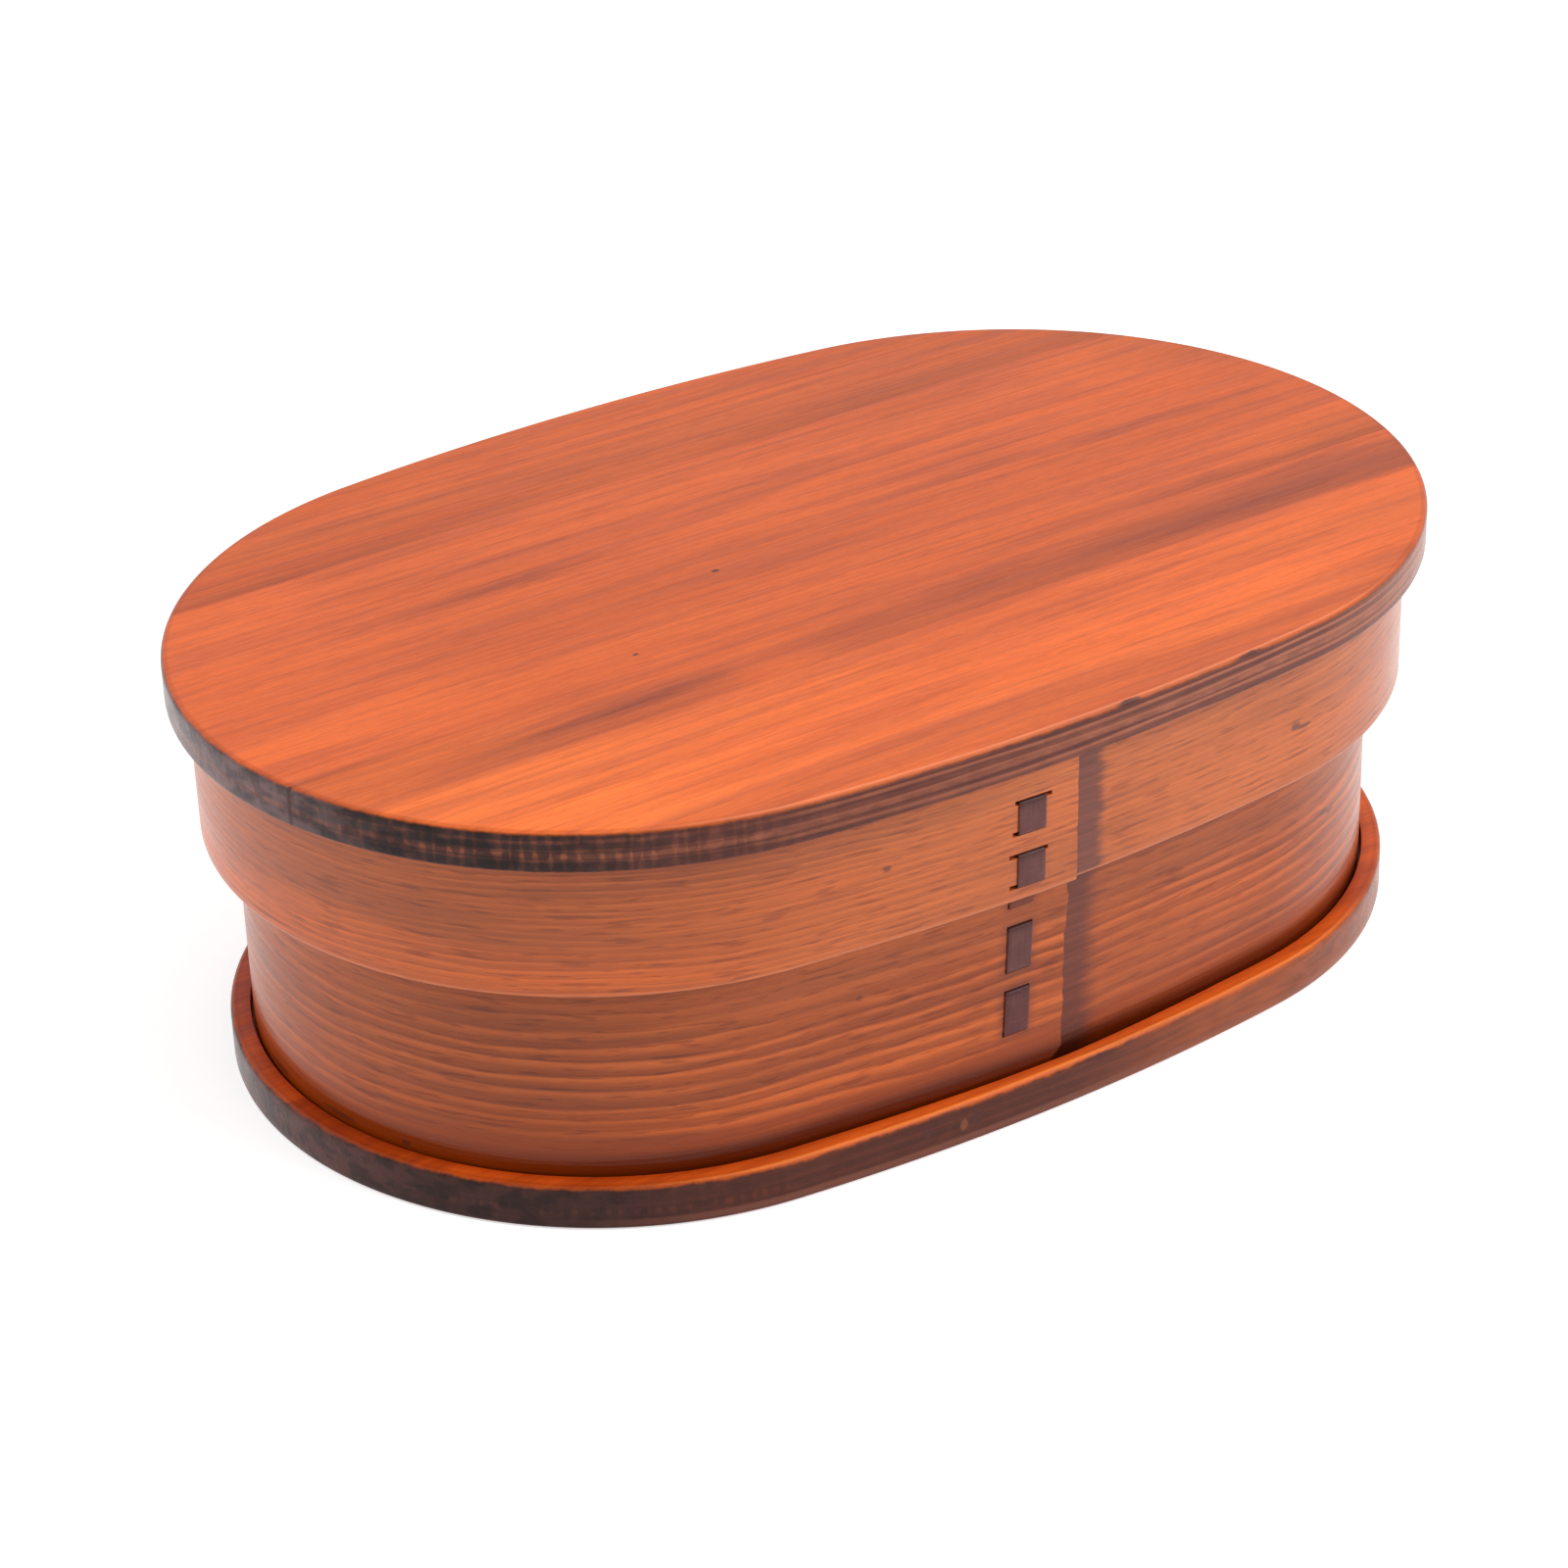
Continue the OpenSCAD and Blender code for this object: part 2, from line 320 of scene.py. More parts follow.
# %% Rows, columns and slits of a band
ROW_GAP, CUT_ROOM = 1.5, 0.3
END_GAP, PLAIN_GAP, LAP_GAP, SLIT_GAP, BESIDE_SLIT = 0.35, 1.1, 1.0, 0.7, 0.4
START_L, PLAIN_FROM, END_COLUMNS = 5, 5.5, 16


def float_feet(foot, count, length):
    """Heights at which the floats of a row of bark start, one gap apart."""
    return foot + np.arange(count) * (length + FLOAT_GAP)


def wall_levels(foot, head, eased_head, cuts):
    """Heights of a wall's rows and how far each is drawn in: a quarter round at the free rim."""
    draw, rise = quarter(BAND_EASE, 0, 6)
    draw = BAND_EASE - draw
    low, high = foot + BAND_EASE, head - BAND_EASE
    plain = np.linspace(low, high, int((head - foot) / ROW_GAP))
    keep = np.min(np.abs(plain[:, None] - cuts), axis=1) > CUT_ROOM
    plain = np.unique(np.concatenate([plain[keep], cuts]))
    if eased_head:
        level = np.concatenate([[foot], plain[plain < high], high + rise])
        return level, np.concatenate([np.zeros(len(level) - len(draw)), draw])
    level = np.concatenate([(low - rise)[::-1], plain[plain > low], [head]])
    return level, np.concatenate([draw[::-1], np.zeros(len(level) - len(draw))])


def wall_columns(lap, end, slit_s):
    """Arc lengths of a wall's columns: close at both ends of the strip and at the slits."""
    inner_end = end - LAP_L
    return np.unique(np.concatenate([
        lap + STEP_RUN + np.arange(0, START_L, END_GAP),
        np.arange(lap + PLAIN_FROM, inner_end - 1, PLAIN_GAP),
        inner_end + np.array([-STEP_RUN, 0]),
        np.arange(inner_end + 1, slit_s.min() - BESIDE_SLIT, LAP_GAP),
        np.arange(slit_s[:, 0].max(), slit_s[:, 1].min(), SLIT_GAP),
        slit_s.ravel(),
        np.linspace(slit_s.max() + BESIDE_SLIT, end, END_COLUMNS),
    ]).round(5))


def slit_walls(c0, c1, row, rows):
    """The four walls of one slit, between the outer and the inner face of the band."""
    c = np.arange(c0, c1)
    low, high = c * 0 + row, c * 0 + row + 1
    outer, inner = (lambda a, b: a * rows + b), (lambda a, b: a * rows + rows - 1 - b)
    floor = np.stack([outer(c, low), outer(c + 1, low), inner(c + 1, low), inner(c, low)], -1)
    roof = np.stack([outer(c, high), inner(c, high), inner(c + 1, high), outer(c + 1, high)], -1)
    left = [[outer(c0, row), inner(c0, row), inner(c0, row + 1), outer(c0, row + 1)]]
    right = [[outer(c1, row), outer(c1, row + 1), inner(c1, row + 1), inner(c1, row)]]
    return np.concatenate([floor, roof, left, right])


# %% A band as a grid of arc length and section
RAGGED_REACH = 2.2
LEAN_FULL, LEAN_NONE, LEAN_PAST = 16, 34, 10
LAP_SIDE = 60
INNER_V, SLIT_V, RIM_V = 200, 100, 2


def band(name, grow, foot, head, eased_head, lap_at, feet, float_l, bark_w, slits_past, stray,
         ends):
    """The wall, from two outward distances for each point of the oval.

    Outside it is grow + outer lap - easing, and inside grow - thickness - inner lap + easing.
    slits_past says how far each slit reaches past the bark, to the left and to the right, first
    for the lower slits of all floats and then for the upper ones.
    """
    lap = lap_at * SIDE_R / (SIDE_R + grow)
    end = lap + ROUND
    slit_foot = np.concatenate([feet - SLIT_ROOM / 5, feet + float_l - BARK_T - SLIT_ROOM])
    slit_s = end - STITCH_IN + (slits_past + bark_w / 2) * [-1, 1]
    cuts = np.concatenate([slit_foot, slit_foot + BARK_T + 2 * SLIT_ROOM])
    level, inset = wall_levels(foot, head, eased_head, np.sort(cuts))
    s = wall_columns(lap, end, slit_s)
    back, past = end - s, s - lap
    outer_lap, inner_lap = lap_layers(back)
    near_end = np.exp(-(np.minimum(back, past) / RAGGED_REACH) ** 2)
    on_top = np.interp(back, [0, LEAN_FULL, LEAN_NONE], [1, 1, 0])
    near_lap = np.where(back < LAP_SIDE, on_top, np.interp(past, [0, LEAN_PAST], [1, 0]))
    stray_s = s[:, None] + near_lap[:, None] * lean(level, *stray)
    out_flat, out_away = oval(stray_s + near_end[:, None] * ragged(level, *ends))
    in_flat, in_away = oval(stray_s)
    out_flat = out_flat + out_away * (grow + outer_lap[:, None] - inset)[..., None]
    in_flat = in_flat + in_away * (grow - BAND_T - inner_lap[:, None] + inset)[..., None]
    count, half = len(s), len(level)
    rows = 2 * half
    tall = np.broadcast_to(level[None, :, None], (count, half, 1))
    outer = np.concatenate([out_flat, tall], axis=-1)
    inner = np.concatenate([in_flat, tall], axis=-1)[:, ::-1]
    points = np.concatenate([outer, inner], axis=1).reshape(-1, 3)
    j, k = np.meshgrid(np.arange(count), np.arange(rows), indexing="ij")
    after, above = (j + 1) % count, (k + 1) % rows
    cells = [j * rows + k, after * rows + k, after * rows + above, j * rows + above]
    cells = np.stack(cells, axis=-1)
    v = np.concatenate([level, INNER_V + level[::-1]])
    v_next = np.roll(v, -1)
    v_next[half - 1], v_next[-1] = head + RIM_V, INNER_V - RIM_V + foot
    u0, u1 = s[j], np.where(j == count - 1, end + STEP_RUN, s[after])
    v0, v1 = v[k], v_next[k]
    uv = [np.stack(pair, -1) for pair in ((u0, v0), (u1, v0), (u1, v1), (u0, v1))]
    uv = np.stack(uv, axis=-2)
    keep = np.ones(cells.shape[:2], dtype=bool)
    slit_columns = np.searchsorted(s, slit_s.round(5)).T
    slits = list(zip(*slit_columns, np.searchsorted(level, slit_foot - 1e-6)))
    for c0, c1, row in slits:
        keep[c0:c1, [row, rows - 2 - row]] = False
    walls = np.concatenate([slit_walls(c0, c1, row, rows) for c0, c1, row in slits])
    wall_uv = np.stack([s[walls // rows], points[walls, 2] + SLIT_V], axis=-1)
    faces = np.concatenate([cells[keep], walls])
    corner_uv = np.concatenate([uv[keep], wall_uv]).reshape(-1, 2)
    return make_piece(name, points, faces.tolist(), corner_uv)


# %% Make the two bands
BODY_FOOT, LID_FOOT, LID_HEAD = BASE_T - GROOVE_D, RIM_Z - 21.4, RIM_Z + GROOVE_D
BODY_FLOAT, LID_FLOAT = 7.5, 5.4
body_feet = float_feet(BASE_T + 6.6, 4, BODY_FLOAT)
lid_feet = float_feet(LID_FOOT + 2.1, 2, LID_FLOAT)
body_slits = np.tile([0.13, 0.05], (8, 1))
lid_slits = np.array([[1.1, 0.15], [0.7, 0.15], [1.2, 0.6], [0.4, 1.1]])
body_wall = band("body_wall", 0, BODY_FOOT, RIM_Z, True, BODY_LAP, body_feet, BODY_FLOAT, BODY_BARK,
                 body_slits, BODY_LEAN, (3, 0.2, 1.6))
lid_wall = band("lid_wall", LID_GROW, LID_FOOT, LID_HEAD, False, LID_LAP, lid_feet, LID_FLOAT,
                LID_BARK, lid_slits, LID_LEAN, (8, 0.07, 0.0))

# %% [markdown]
# ## The bark stitches
# A strip of cherry bark runs in and out through the slits like a running stitch, with short floats
# outside and shorter runs inside. Its side view is a line with right-angled turns. Each turn is
# rounded, and a thin flat section is carried along the line, tilted to lie on the sloping lap.

# %% A strip carried along its path
BARK_SLACK, BARK_SKIN = 0.02, 0.3
SEAT_OUT = LAP_STEP * (LAP_L - STITCH_IN) / LAP_L + BARK_SLACK
SEAT_IN = LAP_STEP * STITCH_IN / LAP_L + BARK_SLACK
TAIL = 2.6
BARK_TURN, BARK_GAP = 0.28, 0.45
TUCK_FADE, NO_SLIT = 0.8, 99


def bark_line(feet, float_l):
    """Corners of the middle line as (outward, height): in, up the outside, back in, and so on."""
    out, inn = SEAT_OUT + BARK_SKIN / 2, -BAND_T - SEAT_IN - BARK_SKIN / 2
    low, high = feet + BARK_T / 2, feet + float_l - BARK_T / 2
    corners = ((inn, low), (out, low), (out, high), (inn, high))
    turns = [np.stack([np.full(len(feet), side), level], -1) for side, level in corners]
    turns = np.stack(turns, axis=1).reshape(-1, 2)
    last = feet[-1] + float_l - BARK_T + TAIL
    return np.concatenate([[[inn, feet[0] + TAIL]], turns, [[inn, last]]])


def rounded_line(corners, radius, spacing):
    """The line with each corner as an arc, then evenly filled.

    A point of an arc is corner - r * before + r * (before * sin + after * (1 - cos)).
    """
    leg = np.diff(corners, axis=0)
    leg = leg / np.linalg.norm(leg, axis=1, keepdims=True)
    turn = np.linspace(0, math.pi / 2, 6)[None, :, None]
    before, after = leg[:-1, None], leg[1:, None]
    bend = before * np.sin(turn) + after * (1 - np.cos(turn))
    arcs = corners[1:-1, None] - radius * before + radius * bend
    line = np.concatenate([corners[:1], arcs.reshape(-1, 2), corners[-1:]])
    far = walked(line)
    extra = np.arange(spacing, far[-1], spacing)
    extra = extra[np.min(np.abs(extra[:, None] - far), axis=1) > spacing / 3]
    at = np.sort(np.concatenate([far, extra]))
    return np.stack([np.interp(at, far, line[:, 0]), np.interp(at, far, line[:, 1])], -1), at


def bark_strip(name, grow, lap_at, feet, float_l, width, stray):
    """Section (across, thick) carried along: place + across * tangent + thick * the line's normal.

    The outward place also grows with across by the lap's slope. The mark "tucked" is 1 inside the
    wall and falls off below the upper slit of a float.
    """
    line, at = rounded_line(bark_line(feet, float_l), BARK_TURN, BARK_GAP)
    below_slit = feet + float_l - line[:, 1, None]
    below_slit = np.min(np.where(below_slit > -0.1, below_slit, NO_SLIT), axis=1)
    tucked = np.where(line[:, 0] > SEAT_OUT, np.exp(-(below_slit / TUCK_FADE) ** 2), 1)
    way = np.gradient(line, at, axis=0)
    way = way / np.linalg.norm(way, axis=1, keepdims=True)
    normal = np.stack([way[:, 1], -way[:, 0]], -1)
    side = np.array([-1, -0.97, -0.9, -0.6, -0.2, 0.2, 0.6, 0.9, 0.97, 1]) * width / 2
    thick = BARK_SKIN / 2 * np.array([0.2, 0.6, 0.9, 1, 1, 1, 1, 0.9, 0.6, 0.2])
    section = np.concatenate([np.stack([side, thick], -1), np.stack([side, -thick], -1)[::-1]])
    across, deep = section[None, :, 0], section[None, :, 1]
    flat, away = oval(np.array([(lap_at - STITCH_IN) * SIDE_R / (SIDE_R + grow)]))
    away, flat = away[0], flat[0]
    tangent = np.array([-away[1], away[0]])
    outward = grow + line[:, None, 0] + deep * normal[:, None, 0] + across * LAP_STEP / LAP_L
    height = line[:, None, 1] + deep * normal[:, None, 1]
    along = across + lean(height, *stray)
    plan = flat + outward[..., None] * away + along[..., None] * tangent
    points = np.concatenate([plan, height[..., None]], axis=-1).reshape(-1, 3)
    count, loop = height.shape
    caps = [list(range(loop))[::-1], list(range((count - 1) * loop, count * loop))]
    faces = grid_faces(count, loop, closed=True).tolist() + caps
    places = np.stack(np.broadcast_arrays(across, at[:, None]), -1).reshape(-1, 2)
    return make_piece(name, points, faces, places, {"tucked": np.repeat(tucked, loop)})


body_bark = bark_strip("body_bark", 0, BODY_LAP, body_feet, BODY_FLOAT, BODY_BARK, BODY_LEAN)
lid_bark = bark_strip("lid_bark", LID_GROW, LID_LAP, lid_feet, LID_FLOAT, LID_BARK, LID_LEAN)

# %% [markdown]
# ## The divider
# A loose upright board parts the inside in two and slides along the box. It is a rounded rectangle
# with eased edges, so it is made like the staves: a profile across its thickness, drawn in at both
# faces, carried round the outline, with the two flat faces as caps.

# %% A rounded board
DIVIDER_X, DIVIDER_T, DIVIDER_H, DIVIDER_HALF = 26.0, 4.0, 40.0, 53.1
DIVIDER_TOP_R, DIVIDER_LOW_R, DIVIDER_EASE = 6.0, 0.8, 0.6


def rounded_board(name, middle_x, thick, half, foot, head, top_r, low_r, ease):
    """Outline corners: centre + radius * direction. Each profile row is drawn in along it."""
    radius = np.array([low_r, top_r, top_r, low_r])[:, None]
    sign = np.array([1, 1, -1, -1])[:, None]
    turn = np.radians(np.array([-90, 0, 90, 180])[:, None] + np.linspace(0, 90, 9))
    away = np.stack([np.cos(turn), np.sin(turn)], -1)
    level = np.array([foot + low_r, head - top_r, head - top_r, foot + low_r])[:, None]
    centre = np.stack(np.broadcast_arrays(sign * (half - radius), level, turn)[:2], -1)
    outline = (centre + radius[..., None] * away).reshape(-1, 2)
    away = away.reshape(-1, 2)
    draw, run = quarter(ease, 0, 5)
    across = np.concatenate([(thick / 2 - ease + run)[::-1], -(thick / 2 - ease + run)])
    inset = ease - np.concatenate([draw[::-1], draw])
    across = np.concatenate([[across[0]], across, [across[-1]]])
    inset = np.concatenate([[ease + TOP_FLAT], inset, [ease + TOP_FLAT]])
    yz = outline[None] - away[None] * inset[:, None, None]
    x = np.broadcast_to((middle_x + across)[:, None, None], yz.shape[:2] + (1,))
    rows, columns = yz.shape[:2]
    cells = np.roll(grid_faces(rows, columns, closed=True)[:, ::-1], 1, axis=1)
    caps = [list(range(columns)), list(range((rows - 1) * columns, rows * columns))[::-1]]
    points = np.concatenate([x, yz], axis=-1).reshape(-1, 3)
    return make_piece(name, points, cells.tolist() + caps, points[:, 1:])


divider_board = rounded_board("divider_board", DIVIDER_X, DIVIDER_T, DIVIDER_HALF, BASE_T,
                              BASE_T + DIVIDER_H, DIVIDER_TOP_R, DIVIDER_LOW_R, DIVIDER_EASE)

# %% [markdown]
# ## Bodies, nodes and slots
# Each new surface stands for one solid of the frame and moves with the same body, and the solid
# itself is hidden. The slot listed for each piece is not given to it.

# %% Tie each piece to the frame
ties = [
    (base_front, "base_front_stave", "body", "board_wood"),
    (base_rear, "base_rear_stave", "body", "board_wood"),
    (body_wall, "body_band", "body", "band_wood"),
    (body_bark, "body_stitch", "body", "bark"),
    (lid_front, "lid_front_stave", "lid", "board_wood"),
    (lid_rear, "lid_rear_stave", "lid", "board_wood"),
    (lid_wall, "lid_band", "lid", "band_wood"),
    (lid_bark, "lid_stitch", "lid", "bark"),
    (divider_board, "divider", "divider", "divider_wood"),
]
for piece, node, body, slot in ties:
    corners = np.array([v.co for v in piece.data.vertices])
    reach = np.array([corners.min(axis=0), corners.max(axis=0)])
    off = np.abs(reach - np.array(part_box(node))).max()
    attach(piece, body)
    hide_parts(node)
    print(piece.name, "is within", round(off / MM, 2), "mm of its solid's box")

# %% [markdown]
# ## Helpers for finishes
# A finish is a small network of nodes. The helper below adds a node and feeds it in one line, so
# that the cells after it read like a recipe: a noise stretched along the grain, a soft threshold,
# a mix of colours. There, n stands for the network at hand.

# %% Node helpers
RELIEF = 0.0002


class Recipe:
    """The nodes of one finish or group. Each method adds nodes and gives back what they put out."""

    def __init__(self, tree):
        self.tree = tree

    def node(self, kind, feeds=None, **options):
        """Any node, with its options, and its inputs as plain values or other nodes' outputs."""
        node = self.tree.nodes.new("ShaderNode" + kind)
        for option, value in options.items():
            setattr(node, option, value)
        for name, value in (feeds or {}).items():
            socket = node.inputs[name]
            if isinstance(value, bpy.types.NodeSocket):
                self.tree.links.new(value, socket)
            else:
                socket.default_value = (*value, 1) if socket.type == "RGBA" else value
        return node.outputs

    def calc(self, operation, *terms):
        """One step of arithmetic on one to three values."""
        return self.node("Math", dict(enumerate(terms)), operation=operation)[0]

    def times(self, product, *factors):
        """The product of two or more values."""
        for factor in factors:
            product = self.calc("MULTIPLY", product, factor)
        return product

    def scaled(self, value, factor, start):
        """A start plus the value times a factor."""
        return self.calc("MULTIPLY_ADD", value, factor, start)

    def less(self, value, other):
        """The first value less the second."""
        return self.calc("SUBTRACT", value, other)

    def off(self, value, middle):
        """How far a value lies from a middle, on either side."""
        return self.calc("ABSOLUTE", self.less(value, middle))

    def most(self, value, other):
        """The larger of two values."""
        return self.calc("MAXIMUM", value, other)

    def step(self, value, low, high, to_low=0.0, to_high=1.0):
        """Runs smoothly from one value to another while the input goes from low to high."""
        feeds = {"Value": value, "From Min": low, "From Max": high}
        feeds.update({"To Min": to_low, "To Max": to_high})
        return self.node("MapRange", feeds, interpolation_type="SMOOTHSTEP")["Result"]

    def fall(self, value, low, high, top=1.0):
        """Runs smoothly from a top to nothing while the input goes from low to high."""
        return self.step(value, low, high, top, 0.0)

    def mix(self, share, first, second, way="MIX"):
        """Mixes two colours by a share."""
        feeds = {0: share, 6: first, 7: second}
        return self.node("Mix", feeds, data_type="RGBA", blend_type=way)[2]

    def stain(self, share, colour, shade):
        """Multiplies a colour by a shade, as far as a share says."""
        return self.mix(share, colour, shade, "MULTIPLY")

    def noise(self, vector, scale, detail=2.0, rough=0.5):
        """Noise on a vector that is first scaled by its own amount along each axis."""
        moved = self.node("Mapping", {"Vector": vector, "Scale": scale})[0]
        feeds = {"Vector": moved, "Scale": 1.0, "Detail": detail, "Roughness": rough}
        return self.node("TexNoise", feeds)["Fac"]

    def swing(self, vector, scale, detail=2.0):
        """The same noise, about nought."""
        return self.less(self.noise(vector, scale, detail), 0.5)

    def split(self, vector):
        """The three parts of a vector."""
        return self.node("SeparateXYZ", {"Vector": vector})

    def here(self):
        """The place in the object, in metres."""
        return self.node("TexCoord")["Object"]

    def along(self):
        """The place on the UV map, in metres along the wood and across it."""
        return self.node("UVMap", uv_map="along_the_wood")[0]

    def mark(self, name):
        """A number that the mesh holds for each point."""
        return self.node("Attribute", attribute_name=name)["Fac"]

    def group(self, group, **feeds):
        """A node group with its named inputs fed."""
        return self.node("Group", feeds, node_tree=group)

    def dress(self, colour, rough, height, strength, shine):
        """Feeds the shader with a colour, a roughness and a faint relief."""
        surface = self.tree.nodes["Principled BSDF"]
        feeds = {"Height": height, "Strength": strength, "Distance": RELIEF}
        relief = self.node("Bump", feeds)[0]
        for name, value in (("Base Color", colour), ("Roughness", rough), ("Normal", relief)):
            self.tree.links.new(value, surface.inputs[name])
        surface.inputs["Specular IOR Level"].default_value = shine


def start_group(name, inputs, outputs):
    """An empty node group with named sockets: the group, its recipe, its inputs and its outputs."""
    tree = bpy.data.node_groups.new(name, "ShaderNodeTree")
    for label, value in inputs.items():
        kind = "NodeSocketVector" if value is None else "NodeSocketFloat"
        socket = tree.interface.new_socket(label, in_out="INPUT", socket_type=kind)
        if value is not None:
            socket.default_value = value
    for label in outputs:
        tree.interface.new_socket(label, in_out="OUTPUT", socket_type="NodeSocketFloat")
    given = tree.nodes.new("NodeGroupInput").outputs
    return tree, Recipe(tree), given, tree.nodes.new("NodeGroupOutput").inputs


def new_finish(name):
    """A material with its Principled shader, and the recipe that feeds it."""
    material = bpy.data.materials.new(name)
    material.use_nodes = True
    return material, Recipe(material.node_tree)


# %% [markdown]
# ## Grain
# All the wood here is straight-grained. Seen close, it has broad soft patches, slim lens-shaped
# streaks, long hair lines, short fibres, and dark dashes where vessels are cut open. Each is a
# noise drawn out along the grain by its own amount. The lines wander a little, so the place across
# the grain is nudged by a slow noise first. A yearly ring shows as a light line that ends in a
# thin dark one, a ramp repeated at a pitch.

# %% The grain and the ring groups
grain_labels = ["Broad", "Streak", "Lines", "Fibre", "Dashes"]
grain_inputs = {"Vector": None, "Wander": 0.001}
grain_group, n, given, result = start_group("wood_grain", grain_inputs, grain_labels)
nudge = n.times(n.swing(given["Vector"], (9, 26, 26), 1.0), given["Wander"])
nudge = n.node("CombineXYZ", {"Y": nudge})[0]
bent = n.node("VectorMath", {0: given["Vector"], 1: nudge}, operation="ADD")[0]
for label, along, across, detail, low, high in (
    ("Broad", 7, 62, 2.0, 0.32, 0.68),
    ("Streak", 21, 330, 2.0, 0.32, 0.68),
    ("Lines", 30, 1100, 3.0, 0.3, 0.7),
    ("Fibre", 150, 1500, 3.0, 0.3, 0.7),
    ("Dashes", 240, 2800, 2.0, 0.6, 0.72),
):
    value = n.step(n.noise(bent, (along, across, across), detail), low, high)
    grain_group.links.new(value, result[label])

ring_inputs = {"Vector": None, "Pitch": 0.0024, "Wander": 0.002}
ring_group, n, given, result = start_group("yearly_rings", ring_inputs, ["Light", "Dark"])
slow = n.swing(given["Vector"], (11, 24, 1))
jitter = n.swing(given["Vector"], (16, 230, 1), 3.0)
across = n.scaled(slow, given["Wander"], n.split(given["Vector"])["Y"])
count = n.scaled(jitter, 1.6, n.calc("DIVIDE", across, given["Pitch"]))
share = n.calc("FRACT", count)
light = n.times(n.step(share, 0.1, 0.55), n.fall(share, 0.58, 0.8))
dark = n.times(n.step(share, 0.7, 0.8), n.fall(share, 0.84, 1.0))
ring_group.links.new(light, result["Light"])
ring_group.links.new(dark, result["Dark"])
print("groups:", [group.name for group in bpy.data.node_groups])

# %% [markdown]
# ## Board finish
# The boards are rubbed with an orange-brown stain under a satin lacquer. On the flat faces the
# stain follows the grain, with some purple streaks and a sunny one at the lid's front. The sawn
# edges drink far more of it. Where the ends of the fibres show, the stain fills the cells between
# rings and rays until only their crossings stay pale. Along the front, long light lines are left,
# and one pale vein runs at mid height. A thin orange highlight is painted along the eased top
# arris, and a faint one along the base's lower arris. Painted shade darkens the top arris towards
# the ends, the base's ledge towards its band and at its left end, and the groove, where stain has
# crept in too. The soaked ends turn paler and greyer, partly a painted sheen. The mesh says how
# far below the top a point lies and how much it is end grain.

# %% Masks for placed streaks and specks
def patch(n, across, along, span, reach):
    """A mask that is full inside a span across the grain and a reach along it, in millimetres."""
    low, high, low_blur, high_blur = span
    start, full, fade, stop = (place * MM for place in reach)
    wide = n.times(n.step(across, (low - low_blur) * MM, (low + low_blur) * MM),
                   n.fall(across, (high - high_blur) * MM, (high + high_blur) * MM))
    return n.times(wide, n.times(n.step(along, start, full), n.fall(along, fade, stop)))


def spot(n, first, second, middle, size, ragged_by, fray=2.2, blur=(1.2, 2.1)):
    """A mask that is 1 within an ellipse in millimetres and falls off outside, frayed by noise."""
    one, two = (n.calc("DIVIDE", n.less(value, centre * MM), half * MM)
                for value, centre, half in zip((first, second), middle, size))
    away = n.scaled(one, one, n.times(two, two))
    return n.fall(n.scaled(ragged_by, fray, away), *blur)


# %% The sawn edge of a board
RING_PITCH, RAY_PITCH = 0.0016, 0.0018
VEIN_RISE = 0.71


def sawn_edge(n, uv, end, x, rise, kind):
    """Colour of a sawn edge: long light rings, and towards the left end a grid of rings and rays.

    Rings are level lines at one pitch. Rays are upright lines at another, a triangle wave of the
    place along the edge that a noise sways. One ring at mid height, the vein, is palest, above all
    where rays cross it.
    """
    dark, pale, soaked_dark, soaked_pale = kind["rim"]
    rings = n.group(ring_group, Vector=uv, Pitch=RING_PITCH, Wander=0.002)
    fleck = n.swing(uv, (420, 560, 1))
    fine = n.step(n.noise(uv, (18, 760, 1), 3.0, 0.55), 0.45, 0.65, 0.0, 0.3)
    lines = n.most(n.times(n.step(rings["Light"], 0.15, 1.0), kind["rings"]), fine)
    strayed = n.scaled(n.noise(uv, (45, 1, 1)), 0.12, rise)
    vein = n.fall(n.off(strayed, VEIN_RISE), 0.03, 0.11)
    sway = n.times(n.noise(uv, (170, 40, 1)), 3.0)
    wave = n.calc("PINGPONG", n.scaled(n.split(uv)["X"], 1 / RAY_PITCH, sway), 0.5)
    rays = n.fall(n.scaled(fleck, -0.9, wave), 0.06, 0.32)
    bands = n.step(n.scaled(fleck, 1.6, rings["Light"]), 0.3, 1.1)
    grid = n.most(n.times(bands, 0.2), n.times(rays, 0.14))
    crossing = n.times(n.most(n.times(bands, 0.35), vein), rays)
    grid = n.times(n.scaled(crossing, 0.7, grid), n.step(end, 0.65, 0.95, 1.0, 0.5))
    gridded = n.times(n.step(end, 0.06, 0.25), n.fall(x, -0.01, 0.03))
    light = n.scaled(n.less(grid, lines), gridded, lines)
    blots = n.swing(uv, (75, 130, 1))
    drink = n.scaled(end, n.step(x, -0.02, 0.05, 1.0, 0.35), n.fall(x, -0.06, 0.0, 0.15))
    heavy = n.step(n.scaled(blots, 0.3, drink), *kind["soak"])
    shown = n.step(heavy, 0.0, 1.0, kind["vein"], kind["vein"] * 0.4)
    shown = n.times(shown, n.step(fleck, -0.15, 0.15, 0.6, 1.0))
    light = n.most(light, n.times(vein, shown))
    # Towards the ends of the oval the soaked colour runs to a paler, greyer one: partly the end
    # grain's own tone, partly a painted sheen, strongest on the lid.
    soaked_dark = n.mix(n.step(end, 0.85, 0.99), soaked_dark, kind["far"])
    dark = n.mix(n.step(x, 0.03, 0.09, 0.0, 0.35), dark, pale)
    colour = n.mix(light, n.mix(heavy, dark, soaked_dark), n.mix(heavy, pale, soaked_pale))
    dull = n.times(n.less(1.0, heavy), n.fall(x, -0.02, 0.02, 0.8))
    colour = n.stain(dull, colour, (0.74, 0.68, 0.68))
    blocks = n.fall(n.noise(uv, (240, 380, 1)), 0.40, 0.58)
    blocks = n.times(blocks, n.step(end, 0.1, 0.9, 0.2, 0.85), n.step(x, 0.0, 0.06, 1.0, 0.4))
    return n.stain(blocks, colour, (0.34, 0.33, 0.36)), blots


